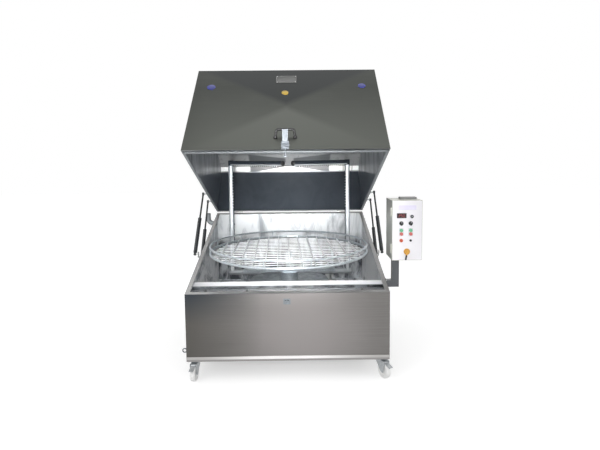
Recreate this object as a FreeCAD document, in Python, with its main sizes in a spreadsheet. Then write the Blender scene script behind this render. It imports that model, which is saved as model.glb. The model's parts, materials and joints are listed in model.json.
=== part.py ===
import FreeCAD, Part
import math
import os
import re
import Sketcher
from FreeCAD import Placement, Rotation, Vector

# A top-loading parts washer: stainless tank on castors, clamshell lid standing open on gas
# struts, turning basket, spray pipes and a control box on an arm. Millimetres.
# x runs to the right, y from the front to the rear, z up from the floor.

SIZES = {
    # tank: outer sizes, heights above the underside
    "caster_height": 128, "tank_width": 1300, "tank_depth": 1240, "front_height": 439,
    "rear_height": 803, "floor_level": 190, "tank_sheet": 2, "rim_flange": 28,
    "skirt_flange": 25, "band_inset": 2, "band_height": 31, "band_proud": 2.5,
    # front shelf with its upstand and knobs
    "shelf_drop": 19, "shelf_depth": 200, "upstand_rise": 24, "knob_y": 65,
    "knob_left_inset": 120, "knob_middle_inset": 388, "knob_right_inset": 167,
    "knob_radius": 9, "knob_stem": 3, "knob_lift": 7,
    # lid, closed, and how far it stands open
    "lid_reveal": 5, "lid_overhang": 25, "lid_lean": 81, "lid_back_height": 440,
    "lid_chamfer": 42, "lid_sheet": 2, "lid_front_flange": 50, "lid_side_flange": 22,
    "lid_gap": 6, "lid_open": 40, "lid_break": 6, "seal_width": 16, "seal_clearance": 0.3,
    # lid hinges
    "hinge_back": 12, "hinge_up": 6, "hinge_inset": 170, "knuckle_radius": 8, "pin_radius": 4,
    "knuckle_length": 38, "knuckle_gap": 1, "leaf_height": 55, "leaf_thickness": 6,
    "fit_gap": 0.05,
    # gas struts: pivots forward of and above the lid's hinge on the open lid, feet on the tank
    "strut_out": 40, "front_foot_back": 752, "front_foot_z": 592, "front_head_back": 402,
    "front_head_up": 198, "rear_foot_back": 552, "rear_foot_z": 460, "rear_head_back": 215,
    "rear_head_up": 118, "strut_radius": 14, "strut_bore": 11.5, "strut_tube": 310,
    "strut_rod": 7, "strut_rod_length": 300, "strut_guide": 14, "piston_length": 10,
    "eye_radius": 12, "eye_width": 16, "stud_radius": 6, "stud_head": 10,
    "stud_head_thickness": 3.5, "stud_plate": 4, "stud_plate_width": 40,
    "stud_plate_height": 56, "crank_out": 14, "crank_drop": 50, "crank_top": 13, "stud_washer": 14, "stud_nut": 7, "stud_nut_height": 5,
    "open_pivot_gap": 0.3,
    # basket and what carries and turns it
    "basket_forward": 4, "basket_radius": 588, "top_ring_level": 640, "top_ring_radius": 7,
    "base_ring_level": 590, "base_ring_radius": 9, "post_radius": 4, "bar_pitch": 83,
    "bar_height": 20, "bar_thickness": 4, "rod_pitch": 60, "rod_radius": 3, "rod_inset": 8,
    "grid_gap": 0.5, "basket_turn": 2, "hub_radius": 67, "hub_gap": 0.3,
    "carrier_level": 425, "carrier_length": 700, "carrier_width": 45, "carrier_height": 20,
    "leg_reach": 332, "leg_radius": 8, "leg_bolt": 12, "leg_bolt_height": 6,
    "centre_post": 25, "shaft_radius": 20, "shaft_bottom": 100, "shaft_hole": 30,
    "column_radius": 60, "column_foot": 90, "foot_thickness": 8, "splash_radius": 300,
    "splash_level": 360, "splash_rim": 20, "splash_sheet": 3, "gearbox_length": 180,
    "gearbox_width": 150, "gearbox_height": 110, "gear_motor_radius": 62,
    "gear_motor_length": 230, "gear_motor_drop": 4, "gear_cowl_length": 40,
    "gear_cowl_proud": 3,
    # spray pipes
    "riser_inset": 150, "riser_back": 140, "riser_radius": 21, "pipe_wall": 3,
    "arm_headroom": 35, "arm_radius": 19, "arm_tip": 40, "arm_turn": 45,
    "nozzle_radius": 2.5, "nozzle_pitch": 24, "riser_nozzle_drop": 380,
    "arm_nozzle_start": 80, "arm_nozzle_pitch": 48, "stay_drop": 103, "stay_radius": 8,
    "feed_rise": 110, "feed_radius": 24, "feed_overrun": 30, "feed_x": -100,
    "feed_branch_radius": 23,
    # pump behind the tank
    "pump_back": 130, "pump_drop": 62, "volute_radius": 85, "volute_width": 60,
    "outlet_reach": 88, "outlet_radius": 28, "pump_motor_radius": 66,
    "pump_motor_length": 230, "suction_reach": 75, "suction_radius": 22, "suction_bend": 44,
    "suction_entry": 10, "fin_count": 9, "fin_start": 40, "fin_pitch": 14,
    "fin_thickness": 4, "fin_proud": 4, "cowl_length": 45, "cowl_proud": 5,
    "terminal_start": 70, "terminal_length": 80, "terminal_width": 70, "terminal_rise": 34,
    "pump_foot_drop": 93, "pump_foot_length": 26, "pump_foot_width": 110,
    "pump_foot_near": 45, "pump_foot_far": 150, "bracket_start": 30, "bracket_sheet": 5,
    "bracket_width": 360, "bracket_depth": 215, "bracket_drop": 120,
    # immersion heater
    "heater_inset": 300, "heater_rise": 45, "heater_flange": 60, "heater_flange_thickness": 14,
    "heater_head": 48, "heater_head_length": 70, "heater_neck": 36,
    "heater_neck_length": 28, "element_radius": 6, "element_gap": 22, "element_length": 600,
    "element_entry": 10,
    # vent, drain and lifting eye
    "vent_back": 120, "vent_drop": 75, "vent_rise": 87, "vent_reach": 55, "vent_radius": 20,
    "vent_bend": 40, "vent_flange": 32, "vent_flange_thickness": 4, "vent_entry": 10,
    "drain_back": 290, "drain_rise": 40, "drain_radius": 17, "drain_wall": 4,
    "drain_entry": 8, "valve_size": 50, "valve_stub": 30, "valve_stem": 16,
    "lever_lift": 6, "lever_length": 120, "lever_width": 18, "lever_thickness": 5,
    "eye_level": 59, "eye_y": 40, "eye_ring": 12.5, "eye_bar": 4, "eye_plate": 4,
    "eye_plate_size": 37.5, "eye_sink": 1,
    # keeper, latch and handle; s runs up the lid's front wall, n out from it
    "latch_x": -4, "keeper_drop": 52, "keeper_width": 45, "keeper_height": 36,
    "keeper_sheet": 3, "keeper_nose": 6, "keeper_nose_width": 28, "keeper_reach": 15,
    "keeper_slot": 8, "latch_base_width": 49, "latch_base_low": 2, "latch_base_high": 52,
    "latch_base_out": 10, "latch_pivot_s": 46, "latch_pivot_n": 18, "latch_cheek": 4,
    "latch_cheek_gap": 0.5, "latch_cheek_reach": 6, "latch_lever_length": 82,
    "latch_lever_width": 36, "latch_lever_sheet": 5, "latch_lift": 40, "latch_boss": 7,
    "hook_s": 6, "hook_n": 16, "hook_drop": 65, "hook_radius": 3, "hook_boss": 5.5,
    "hook_boss_width": 14, "hook_bar": 24, "hook_lean": 28, "hook_ear": 4,
    "hook_ear_gap": 1, "handle_foot_x": 64, "handle_foot_s": 110, "handle_bar_x": 56,
    "handle_bar_s": 138, "handle_bar_n": 44, "handle_radius": 8, "handle_bend": 14,
    "handle_flange": 5, "handle_flange_height": 5,
    # control box and its arm
    "box_out": 42, "box_front": 150, "box_bottom": 607, "box_width": 200,
    "box_height": 400, "box_depth": 200, "box_sheet": 1.5, "door_depth": 14,
    "door_gap": 0.3, "arm_tube": 45, "arm_tube_wall": 3, "arm_tube_drop": 19,
    "arm_tube_front": 180, "arm_post_inset": 9, "arm_plate": 5, "arm_plate_width": 100,
    "arm_plate_height": 80, "arm_head_width": 120, "arm_head_depth": 140,
    "arm_head_side": 4, "arm_head_front": 10, "box_hinge_radius": 5, "box_pin_radius": 3,
    "box_pin_length": 60, "box_knuckle": 20, "box_knuckle_gap": 0.5, "box_hinge_web": 12,
    "ridge_length": 110, "ridge_depth": 60, "ridge_height": 14, "ridge_x": 70,
    "ridge_y": 60,
    # what sits on the door, measured from the box's left edge and bottom
    "left_column": 60, "right_column": 122, "display_x": 62, "display_z": 299,
    "display_width": 63, "display_height": 32, "display_proud": 4, "selector_z": 248,
    "selector_radius": 13, "selector_base": 6, "selector_length": 18, "selector_grip": 7,
    "green_z": 202, "red_z": 178, "button_radius": 11, "button_travel": 3,
    "button_proud": 8, "button_stalk": 5, "button_rest": 0.5, "button_tail": 4.5,
    "collar_proud": 4, "collar_edge": 3, "collar_gap": 0.4, "lamp_z": 134,
    "lamp_radius": 11, "lamp_proud": 9, "reset_radius": 7.7, "reset_proud": 7,
    "ring_proud": 6, "switch_x": 98, "switch_z": 59, "switch_plate": 21,
    "switch_plate_thickness": 3, "switch_hub": 11.5, "switch_hub_height": 14,
    "switch_lever": 54, "switch_lever_width": 9, "switch_lever_height": 8,
    "switch_turn": 11, "ring_x": 130, "ring_z": 293,
    # castors
    "caster_inset": 50, "plate_length": 100, "plate_width": 85, "plate_sheet": 4,
    "plate_bolt": 6, "plate_bolt_inset": 10, "kingpin_radius": 8, "kingpin_head": 12,
    "kingpin_head_height": 4, "race_radius": 30, "race_height": 8, "swivel_gap": 0.3,
    "wheel_radius": 50, "wheel_width": 30, "wheel_dish": 33, "wheel_dish_depth": 4,
    "caster_offset": 40, "fork_gap": 3, "fork_sheet": 3, "fork_edge": 6, "axle_radius": 5,
    "axle_end": 3, "wheel_round": 6, "pedal_pivot_y": 58, "pedal_pivot_z": 105,
    "pedal_boss": 6.5, "pedal_reach": 52, "pedal_width": 30, "pedal_sheet": 4,
    "pedal_slope": 20,
}

# places and sizes that follow from the ones above
DERIVED = {
    "lid_width": "tank_width + 2 * lid_reveal",
    "lid_top": "rear_height + lid_back_height + lid_chamfer",
    "band_length": "tank_width - 2 * band_inset",
    "shelf_level": "front_height - shelf_drop", "upstand_level": "front_height + upstand_rise",
    "knob_left": "knob_left_inset - tank_width / 2",
    "knob_middle": "knob_middle_inset - tank_width / 2",
    "knob_right": "tank_width / 2 - knob_right_inset",
    "hinge_x": "tank_width / 2 - hinge_inset", "strut_x": "tank_width / 2 + strut_out",
    "front_foot_y": "tank_depth + hinge_back - front_foot_back",
    "front_head_y": "tank_depth + hinge_back - front_head_back",
    "front_head_z": "rear_height + hinge_up + front_head_up",
    "rear_foot_y": "tank_depth + hinge_back - rear_foot_back",
    "rear_head_y": "tank_depth + hinge_back - rear_head_back",
    "rear_head_z": "rear_height + hinge_up + rear_head_up",
    "basket_y": "tank_depth / 2 - basket_forward", "riser_x": "tank_width / 2 - riser_inset",
    "riser_y": "tank_depth - riser_back", "arm_level": "lid_top - arm_headroom",
    "arm_reach": "(riser_x - arm_tip) / cos(arm_turn)", "nozzle_first": "arm_level - riser_nozzle_drop",
    "stay_level": "rear_height - stay_drop", "feed_level": "floor_level + feed_rise",
    "bracket_level": "feed_level - pump_drop - pump_foot_drop",
    "heater_x": "tank_width / 2 - heater_inset", "heater_level": "floor_level + heater_rise",
    "vent_y": "tank_depth - vent_back", "vent_level": "rear_height - vent_drop",
    "vent_top": "vent_level + vent_rise", "drain_y": "tank_depth - drain_back",
    "drain_level": "floor_level + drain_rise", "keeper_level": "front_height - keeper_drop",
    "box_left": "tank_width / 2 + box_out", "arm_tube_bottom": "front_height - arm_tube_drop",
}

doc = FreeCAD.newDocument("PartsWasher")
sheet = doc.addObject("Spreadsheet::Sheet", "Sizes")
for row, (name, value) in enumerate(SIZES.items(), 1):
    sheet.set(f"A{row}", name)
    sheet.set(f"B{row}", str(value))
    sheet.setAlias(f"B{row}", name)
doc.recompute()

ALONG_X = ((0, 1, 0), 90)
ALONG_Y = ((1, 0, 0), -90)
SLOPE = "atan((rear_height - front_height) / tank_depth)"
RIM_FRONT = "(caster_height + front_height)"
HINGE_Y = "(tank_depth + hinge_back)"
HINGE_Z = "(caster_height + rear_height + hinge_up)"
FLOOR_TOP = "(caster_height + floor_level + tank_sheet)"
nodes = {}


# ---- helpers: sheet, placing, primitives and booleans ----

def spell(text):
    """Write a formula over size names as a formula over the sheet's aliases."""
    def cell(word):
        if word[0] in DERIVED:
            return "(" + spell(DERIVED[word[0]]) + ")"
        return "Sizes." + word[0] if word[0] in SIZES else word[0]
    return re.sub(r"[a-z][a-z_0-9]*", cell, str(text))


def size(name):
    """The value of a size, from the sheet, or of what follows from the sizes."""
    if name in SIZES:
        return float(sheet.get(name))
    plain = re.sub(r"Sizes\.([a-z_0-9]*)", lambda word: str(float(sheet.get(word[1]))), spell(name))
    return FreeCAD.Units.Quantity(plain).Value


def bind(piece, **formulas):
    for prop, text in formulas.items():
        piece.setExpression(prop, spell(text))
    return piece


def put(piece, at=(0, 0, 0), turn=None):
    """Bind a piece's place, and its turn about an axis, to formulas."""
    if turn:
        axis, angle = turn
        fixed = isinstance(angle, (int, float))
        piece.Placement = Placement(Vector(), Rotation(Vector(*axis), angle if fixed else 1))
        if not fixed:
            piece.setExpression(".Placement.Rotation.Angle", spell(angle))
    for letter, text in zip("xyz", at):
        piece.setExpression(".Placement.Base." + letter, spell(text))
    return piece


def block(length, width, height, at=(0, 0, 0), turn=None):
    piece = doc.addObject("Part::Box", "Block")
    return put(bind(piece, Length=length, Width=width, Height=height), at, turn)


def mid_block(length, width, height, at, turn=None):
    """A block centred on x, standing on the given y and z."""
    x, y, z = at
    return block(length, width, height, (f"{x} - ({length}) / 2", y, z), turn)


def disc(radius, height, at=(0, 0, 0), turn=None):
    piece = doc.addObject("Part::Cylinder", "Round")
    return put(bind(piece, Radius=radius, Height=height), at, turn)


def ball(radius, at):
    return put(bind(doc.addObject("Part::Sphere", "Ball"), Radius=radius), at)


def hoop(ring, bar, at, turn=None, angle=360):
    piece = doc.addObject("Part::Torus", "Hoop")
    return put(bind(piece, Radius1=ring, Radius2=bar, Angle3=angle), at, turn)


def fuse(*pieces):
    piece = doc.addObject("Part::MultiFuse", "Fused")
    piece.Shapes = list(pieces)
    piece.Refine = True
    return piece


def cut(base, *tools):
    piece = doc.addObject("Part::Cut", "Cut")
    piece.Base = base
    piece.Tool = tools[0] if len(tools) == 1 else group(*tools)
    piece.Refine = True
    return piece


def group(*pieces):
    piece = doc.addObject("Part::Compound", "Group")
    piece.Links = list(pieces)
    return piece


def name_node(label, piece):
    piece.Label = label
    nodes[label] = piece
    return piece


def prism(points, width, at_x="0"):
    """A side view outline, points as (y, z) formulas, extruded evenly about x = at_x."""
    outline = doc.addObject("Sketcher::SketchObject", "Outline")
    outline.Placement = Placement(Vector(), Rotation(Vector(1, 1, 1), 120))
    count = len(points)
    rough = [Vector(100 * math.cos(k * math.tau / count), 100 * math.sin(k * math.tau / count), 0)
             for k in range(count)]
    for k in range(count):
        outline.addGeometry(Part.LineSegment(rough[k], rough[(k + 1) % count]))
    for k in range(count):
        outline.addConstraint(Sketcher.Constraint("Coincident", k, 2, (k + 1) % count, 1))
    for k, (across, up) in enumerate(points):
        for kind, start, text in (("DistanceX", rough[k].x, across), ("DistanceY", rough[k].y, up)):
            number = outline.addConstraint(Sketcher.Constraint(kind, -1, 1, k, 1, start))
            outline.setExpression(f"Constraints[{number}]", spell(text))
    piece = doc.addObject("Part::Extrusion", "Prism")
    piece.Base = outline
    piece.DirMode = "Custom"
    piece.Dir = Vector(1, 0, 0)
    piece.Solid = True
    piece.Symmetric = True
    bind(piece, LengthFwd=width)
    piece.setExpression(".Placement.Base.x", spell(at_x))
    return piece


def hollow(solid, wall, is_mouth):
    """A closed solid made a shell of the given wall, open at the face that is_mouth picks."""
    doc.recompute()
    face = next(k for k, f in enumerate(solid.Shape.Faces, 1) if is_mouth(f.normalAt(0, 0)))
    piece = doc.addObject("Part::Thickness", "Shell")
    piece.Faces = (solid, [f"Face{face}"])
    piece.Join = "Intersection"
    return bind(piece, Value=f"-{wall}")


def on_rim(piece, x, along, lift):
    """Put a piece in the frame of the slanting rim: along it from the front, lifted off it."""
    y = f"({along}) * cos({SLOPE}) - ({lift}) * sin({SLOPE})"
    z = f"{RIM_FRONT} + ({along}) * sin({SLOPE}) + ({lift}) * cos({SLOPE})"
    return put(piece, (x, y, z), ((1, 0, 0), SLOPE))


def pipe_path(points, bend):
    """Straight runs through the points, joined by tangent arcs of radius bend."""
    edges, start = [], points[0]
    for before, corner, after in zip(points, points[1:], points[2:]):
        back = (before - corner).normalize()
        ahead = (after - corner).normalize()
        turn = math.pi - back.getAngle(ahead)
        reach = bend * math.tan(turn / 2)
        centre = corner + (back + ahead).normalize() * (bend / math.cos(turn / 2))
        enter, leave = corner + back * reach, corner + ahead * reach
        middle = centre + (corner - centre).normalize() * bend
        edges += [Part.LineSegment(start, enter).toShape(), Part.Arc(enter, middle, leave).toShape()]
        start = leave
    edges.append(Part.LineSegment(start, points[-1]).toShape())
    return Part.Wire(edges)


def bent_bar(points, bend, radius, bore=0):
    """A round bar, or a pipe with a bore, swept along a bent path."""
    path = pipe_path(points, bend)
    heading = (points[1] - points[0]).normalize()

    def sweep(r):
        section = Part.Wire(Part.makeCircle(r, points[0], heading))
        return path.makePipeShell([section], True, True)
    piece = doc.addObject("Part::Feature", "Bent")
    piece.Shape = sweep(radius).cut(sweep(bore)) if bore else sweep(radius)
    return piece


def pivot_hole(radius, length, at, turn=None):
    return disc(f"{radius} + fit_gap", length, at, turn)


# ---- tank ----

def tank_shell():
    low, fall = "caster_height + floor_level", f"tank_sheet * tan({SLOPE})"
    rim_rear = "caster_height + rear_height"
    front = prism([("0", low), ("tank_sheet", low), ("tank_sheet", f"{RIM_FRONT} + {fall}"),
                   ("0", RIM_FRONT)], "tank_width")
    rear = prism([("tank_depth - tank_sheet", low), ("tank_depth", low), ("tank_depth", rim_rear),
                  ("tank_depth - tank_sheet", f"{rim_rear} - {fall}")], "tank_width")
    left, right = (prism([("tank_sheet", low), ("tank_depth - tank_sheet", low),
                          ("tank_depth - tank_sheet", f"{rim_rear} - {fall}"),
                          ("tank_sheet", f"{RIM_FRONT} + {fall}")], "tank_sheet",
                         f"{side} * (tank_width - tank_sheet) / 2") for side in (-1, 1))
    floor = mid_block("tank_width - 2 * tank_sheet", "tank_depth - 2 * tank_sheet", "tank_sheet",
                      (0, "tank_sheet", low))
    skirt = cut(mid_block("tank_width", "tank_depth", "floor_level", (0, 0, "caster_height")),
                mid_block("tank_width - 2 * tank_sheet", "tank_depth - 2 * tank_sheet", "floor_level",
                          (0, "tank_sheet", "caster_height")))
    foot = cut(mid_block("tank_width", "tank_depth", "tank_sheet", (0, 0, "caster_height")),
               mid_block("tank_width - 2 * skirt_flange", "tank_depth - 2 * skirt_flange", "tank_sheet",
                         (0, "skirt_flange", "caster_height")))
    rim_length = f"(tank_depth / cos({SLOPE}) - tank_sheet)"
    rim = cut(on_rim(block("tank_width", rim_length, "tank_sheet"), "-tank_width / 2", "0", "-tank_sheet"),
              on_rim(block("tank_width - 2 * rim_flange", f"{rim_length} - 2 * rim_flange", "3 * tank_sheet"),
                     "rim_flange - tank_width / 2", "rim_flange", "-2 * tank_sheet"))
    band = mid_block("band_length", "band_proud", "band_height", (0, "-band_proud", "caster_height"))
    through = "4 * tank_sheet"
    drive_hole = disc("shaft_hole", through, (0, "basket_y", f"{FLOOR_TOP} - 3 * tank_sheet"))
    vent_hole = disc("vent_radius + fit_gap", through,
                     ("-tank_width / 2 - tank_sheet", "vent_y", "caster_height + vent_level"), ALONG_X)
    drain_hole = disc("drain_radius + fit_gap", through,
                      ("tank_width / 2 - 3 * tank_sheet", "drain_y", "caster_height + drain_level"), ALONG_X)
    rear_holes = [
        disc("feed_branch_radius + fit_gap", through,
             ("feed_x", "tank_depth - 3 * tank_sheet", "caster_height + feed_level"), ALONG_Y),
        disc("suction_radius + fit_gap", through,
             ("feed_x - volute_width / 2 - suction_reach", "tank_depth - 3 * tank_sheet",
              "caster_height + feed_level - pump_drop"), ALONG_Y),
        disc("heater_neck + fit_gap", through,
             ("heater_x", "tank_depth - 3 * tank_sheet", "caster_height + heater_level"), ALONG_Y)]
    name_node("tank_shell", group(front, cut(floor, drive_hole), cut(left, vent_hole),
                                  cut(right, drain_hole), cut(rear, *rear_holes)))
    name_node("tank_frame", group(fuse(skirt, foot, band), cut(rim, front, rear, left, right)))


def front_shelf():
    inside = "tank_width - 2 * tank_sheet"
    shelf = mid_block(inside, "shelf_depth - tank_sheet", "tank_sheet",
                      (0, "tank_sheet", "caster_height + shelf_level"))
    upstand = mid_block(inside, "tank_sheet", "upstand_level - shelf_level",
                        (0, "shelf_depth - tank_sheet", "caster_height + shelf_level"))
    name_node("front_shelf", fuse(shelf, upstand))
    top = "(caster_height + shelf_level + tank_sheet)"
    knobs = []
    for x in ("knob_left", "knob_middle", "knob_right"):
        stem = disc("knob_stem", "knob_lift + knob_radius", (x, "knob_y", top))
        knobs.append(fuse(stem, ball("knob_radius", (x, "knob_y", f"{top} + knob_lift + knob_radius"))))
    name_node("shelf_knobs", group(*knobs))


def pedestal():
    top = "(caster_height + splash_level)"
    column = disc("column_radius", f"{top} - {FLOOR_TOP}", (0, "basket_y", FLOOR_TOP))
    foot = disc("column_foot", "foot_thickness", (0, "basket_y", FLOOR_TOP))
    splash = disc("splash_radius", "splash_sheet", (0, "basket_y", f"{top} - splash_sheet"))
    rim = cut(disc("splash_radius", "splash_rim", (0, "basket_y", f"{top} - splash_rim")),
              disc("splash_radius - splash_sheet", "splash_rim", (0, "basket_y", f"{top} - splash_rim")))
    bore = pivot_hole("shaft_radius", f"{top} - {FLOOR_TOP}", (0, "basket_y", FLOOR_TOP))
    name_node("pedestal", cut(fuse(column, foot, splash, rim), bore))


def gearmotor():
    top = "(caster_height + floor_level)"
    box = block("gearbox_length", "gearbox_width", "gearbox_height",
                ("-gearbox_length / 2", "basket_y - gearbox_width / 2", f"{top} - gearbox_height"))
    axis_z = f"{top} - gear_motor_radius - gear_motor_drop"
    motor = disc("gear_motor_radius", "gear_motor_length", ("gearbox_length / 2", "basket_y", axis_z), ALONG_X)
    cowl = disc("gear_motor_radius + gear_cowl_proud", "gear_cowl_length",
                ("gearbox_length / 2 + gear_motor_length", "basket_y", axis_z), ALONG_X)
    bore = pivot_hole("shaft_radius", "floor_level - shaft_bottom + hub_gap",
                      (0, "basket_y", "caster_height + shaft_bottom - hub_gap"))
    name_node("gearmotor", cut(fuse(box, motor, cowl), bore))


def tank_fittings():
    z = "caster_height + keeper_level"
    plate = mid_block("keeper_width", "keeper_sheet", "keeper_height",
                      ("latch_x", "-keeper_sheet", f"{z} - keeper_height / 2"))
    nose_at = ("latch_x", "-keeper_reach - keeper_sheet", f"{z} + hook_radius")
    nose = mid_block("keeper_nose_width", "keeper_reach", "keeper_nose", nose_at)
    slot = mid_block("keeper_slot", "keeper_reach", "keeper_nose", nose_at)
    name_node("latch_keeper", fuse(plate, cut(nose, slot)))

    z = "caster_height + eye_level"
    centre = "-tank_width / 2 - eye_plate - eye_ring - eye_bar + eye_sink"
    ring = hoop("eye_ring", "eye_bar", (centre, "eye_y", z), ALONG_Y)
    base = block("eye_plate", "eye_plate_size", "eye_plate_size",
                 ("-tank_width / 2 - eye_plate", "eye_y - eye_plate_size / 2", f"{z} - eye_plate_size / 2"))
    name_node("lifting_eye", fuse(base, ring))

    wall, y = -size("tank_width") / 2, size("vent_y")
    level, top = size("caster_height") + size("vent_level"), size("caster_height") + size("vent_top")
    points = [Vector(wall + size("vent_entry"), y, level), Vector(wall - size("vent_reach"), y, level),
              Vector(wall - size("vent_reach"), y, top)]
    pipe = bent_bar(points, size("vent_bend"), size("vent_radius"), size("vent_radius") - size("pipe_wall"))
    at = ("-tank_width / 2 - vent_flange_thickness", "vent_y", "caster_height + vent_level")
    flange = cut(disc("vent_flange", "vent_flange_thickness", at, ALONG_X),
                 disc("vent_radius - pipe_wall", "vent_flange_thickness", at, ALONG_X))
    name_node("vent_elbow", fuse(pipe, flange))


def drain():
    y, z = "drain_y", "caster_height + drain_level"
    side = "tank_width / 2"
    stem_x = f"{side} + valve_stub + valve_size / 2"
    start = f"{side} - drain_entry"
    inlet = disc("drain_radius", "valve_stub + drain_entry", (start, y, z), ALONG_X)
    body = block("valve_size", "valve_size", "valve_size",
                 (f"{side} + valve_stub", "drain_y - valve_size / 2", f"{z} - valve_size / 2"))
    outlet = disc("drain_radius", "valve_stub", (f"{side} + valve_stub + valve_size", y, z), ALONG_X)
    bore = disc("drain_radius - drain_wall", "2 * valve_stub + valve_size + drain_entry", (start, y, z), ALONG_X)
    stem = disc("pin_radius", "valve_stem", (stem_x, y, f"{z} + valve_size / 2"))
    name_node("drain_valve", fuse(cut(fuse(inlet, body, outlet), bore), stem))
    lever_z = f"{z} + valve_size / 2 + lever_lift"
    lever = block("lever_width", "lever_length", "lever_thickness",
                  (f"{stem_x} - lever_width / 2", "drain_y - lever_width / 2", lever_z))
    name_node("drain_lever", cut(lever, pivot_hole("pin_radius", "lever_thickness", (stem_x, y, lever_z))))


# ---- spray pipes, pump and heater ----

def spray_pipes():
    top = "caster_height + arm_level + riser_radius"
    level = "caster_height + feed_level"
    for side, word in ((-1, "left"), (1, "right")):
        x = f"{side} * riser_x"
        height = "arm_level + riser_radius - feed_level"
        pipe = cut(disc("riser_radius", height, (x, "riser_y", level)),
                   disc("riser_radius - pipe_wall", f"{height} - pipe_wall", (x, "riser_y", level)))
        stay = cut(disc("stay_radius", "tank_depth - tank_sheet - riser_y",
                        (x, "riser_y", "caster_height + stay_level"), ALONG_Y),
                   disc("riser_radius - pipe_wall / 3", "4 * stay_radius",
                        (x, "riser_y", "caster_height + stay_level - 2 * stay_radius")))
        feed = disc("feed_radius", "4 * riser_radius", (f"{x} - 2 * riser_radius", "riser_y", level), ALONG_X)
        aim = math.degrees(math.atan2(size("basket_y") - size("riser_y"), -side * size("riser_x")))
        nozzles = []
        for k in range(12):
            hole = disc("nozzle_radius", "1.5 * riser_radius",
                        (x, "riser_y", f"caster_height + nozzle_first + {k} * nozzle_pitch"))
            hole.Placement.Rotation = Rotation(Vector(0, 0, 1), aim) * Rotation(Vector(0, 1, 0), 90)
            nozzles.append(hole)
        riser = cut(fuse(pipe, stay), feed, *nozzles)

        # the arm lies along local x from the riser's axis, then swings in towards the basket
        tube = cut(disc("arm_radius", "arm_reach", turn=ALONG_X),
                   disc("arm_radius - pipe_wall", "arm_reach - riser_radius - pipe_wall",
                        ("riser_radius", 0, 0), ALONG_X),
                   disc("riser_radius", "4 * arm_radius", (0, 0, "-2 * arm_radius")))
        slots = [disc("nozzle_radius", "arm_radius",
                      (f"arm_nozzle_start + {k} * arm_nozzle_pitch", 0, "-1.2 * arm_radius")) for k in range(11)]
        arm = cut(tube, *slots)
        turn = -size("arm_turn") if side < 0 else 180 + size("arm_turn")
        arm.Placement = Placement(Vector(side * size("riser_x"), size("riser_y"),
                                         size("caster_height") + size("arm_level")),
                                  Rotation(Vector(0, 0, 1), turn))
        name_node(f"spray_pipe_{word}", group(riser, arm))

    length = "2 * riser_x + 2 * feed_overrun"
    branch = "tank_depth + pump_back - outlet_reach - riser_y"
    main = cut(disc("feed_radius", length, ("-riser_x - feed_overrun", "riser_y", level), ALONG_X),
               disc("feed_radius - pipe_wall", f"{length} - 2 * pipe_wall",
                    ("-riser_x - feed_overrun + pipe_wall", "riser_y", level), ALONG_X))
    stub = cut(disc("feed_branch_radius", branch, ("feed_x", "riser_y", level), ALONG_Y),
               disc("feed_radius", length, ("-riser_x - feed_overrun", "riser_y", level), ALONG_X))
    opening = disc("feed_branch_radius - pipe_wall", branch, ("feed_x", "riser_y", level), ALONG_Y)
    name_node("feed_pipe", cut(fuse(main, stub), opening))


def pump():
    y = "(tank_depth + pump_back)"
    z = "(caster_height + feed_level - pump_drop)"
    face = "(feed_x - volute_width / 2)"
    volute = disc("volute_radius", "volute_width", (face, y, z), ALONG_X)
    outlet = disc("outlet_radius", "outlet_reach",
                  ("feed_x", f"{y} - outlet_reach", "caster_height + feed_level"), ALONG_Y)
    overlap = size("pipe_wall")
    eye = Vector(size("feed_x") - size("volute_width") / 2 + overlap, size("tank_depth") + size("pump_back"),
                 size("caster_height") + size("feed_level") - size("pump_drop"))
    corner = eye - Vector(size("suction_reach") + overlap, 0, 0)
    inlet = Vector(corner.x, size("tank_depth") - size("suction_entry"), corner.z)
    suction = bent_bar([eye, corner, inlet], size("suction_bend"), size("suction_radius"),
                       size("suction_radius") - size("pipe_wall"))
    back = "(feed_x + volute_width / 2)"
    motor = disc("pump_motor_radius", "pump_motor_length", (back, y, z), ALONG_X)
    fins = [disc("pump_motor_radius + fin_proud", "fin_thickness",
                 (f"{back} + fin_start + {k} * fin_pitch", y, z), ALONG_X) for k in range(int(size("fin_count")))]
    cowl = disc("pump_motor_radius + cowl_proud", "cowl_length",
                (f"{back} + pump_motor_length - cowl_length", y, z), ALONG_X)
    terminals = block("terminal_length", "terminal_width", "pump_motor_radius + terminal_rise",
                      (f"{back} + terminal_start", f"{y} - terminal_width / 2", z))
    shelf_top = "(caster_height + bracket_level)"
    feet = [block("pump_foot_length", "pump_foot_width", f"{z} - {shelf_top}",
                  (f"{back} + {x}", f"{y} - pump_foot_width / 2", shelf_top))
            for x in ("pump_foot_near", "pump_foot_far")]
    name_node("pump", fuse(volute, outlet, suction, motor, cowl, terminals, *fins, *feet))
    start = "(feed_x - bracket_start)"
    shelf = block("bracket_width", "bracket_depth", "bracket_sheet",
                  (start, "tank_depth", f"{shelf_top} - bracket_sheet"))
    back_plate = block("bracket_width", "bracket_sheet", "bracket_drop",
                       (start, "tank_depth", f"{shelf_top} - bracket_drop"))
    ribs = [prism([("tank_depth", f"{shelf_top} - bracket_drop"),
                   ("tank_depth + bracket_depth", f"{shelf_top} - bracket_sheet"),
                   ("tank_depth", f"{shelf_top} - bracket_sheet")], "bracket_sheet",
                  f"{start} + {side}") for side in ("bracket_sheet / 2", "bracket_width - bracket_sheet / 2")]
    name_node("pump_bracket", fuse(shelf, back_plate, *ribs))


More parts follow.
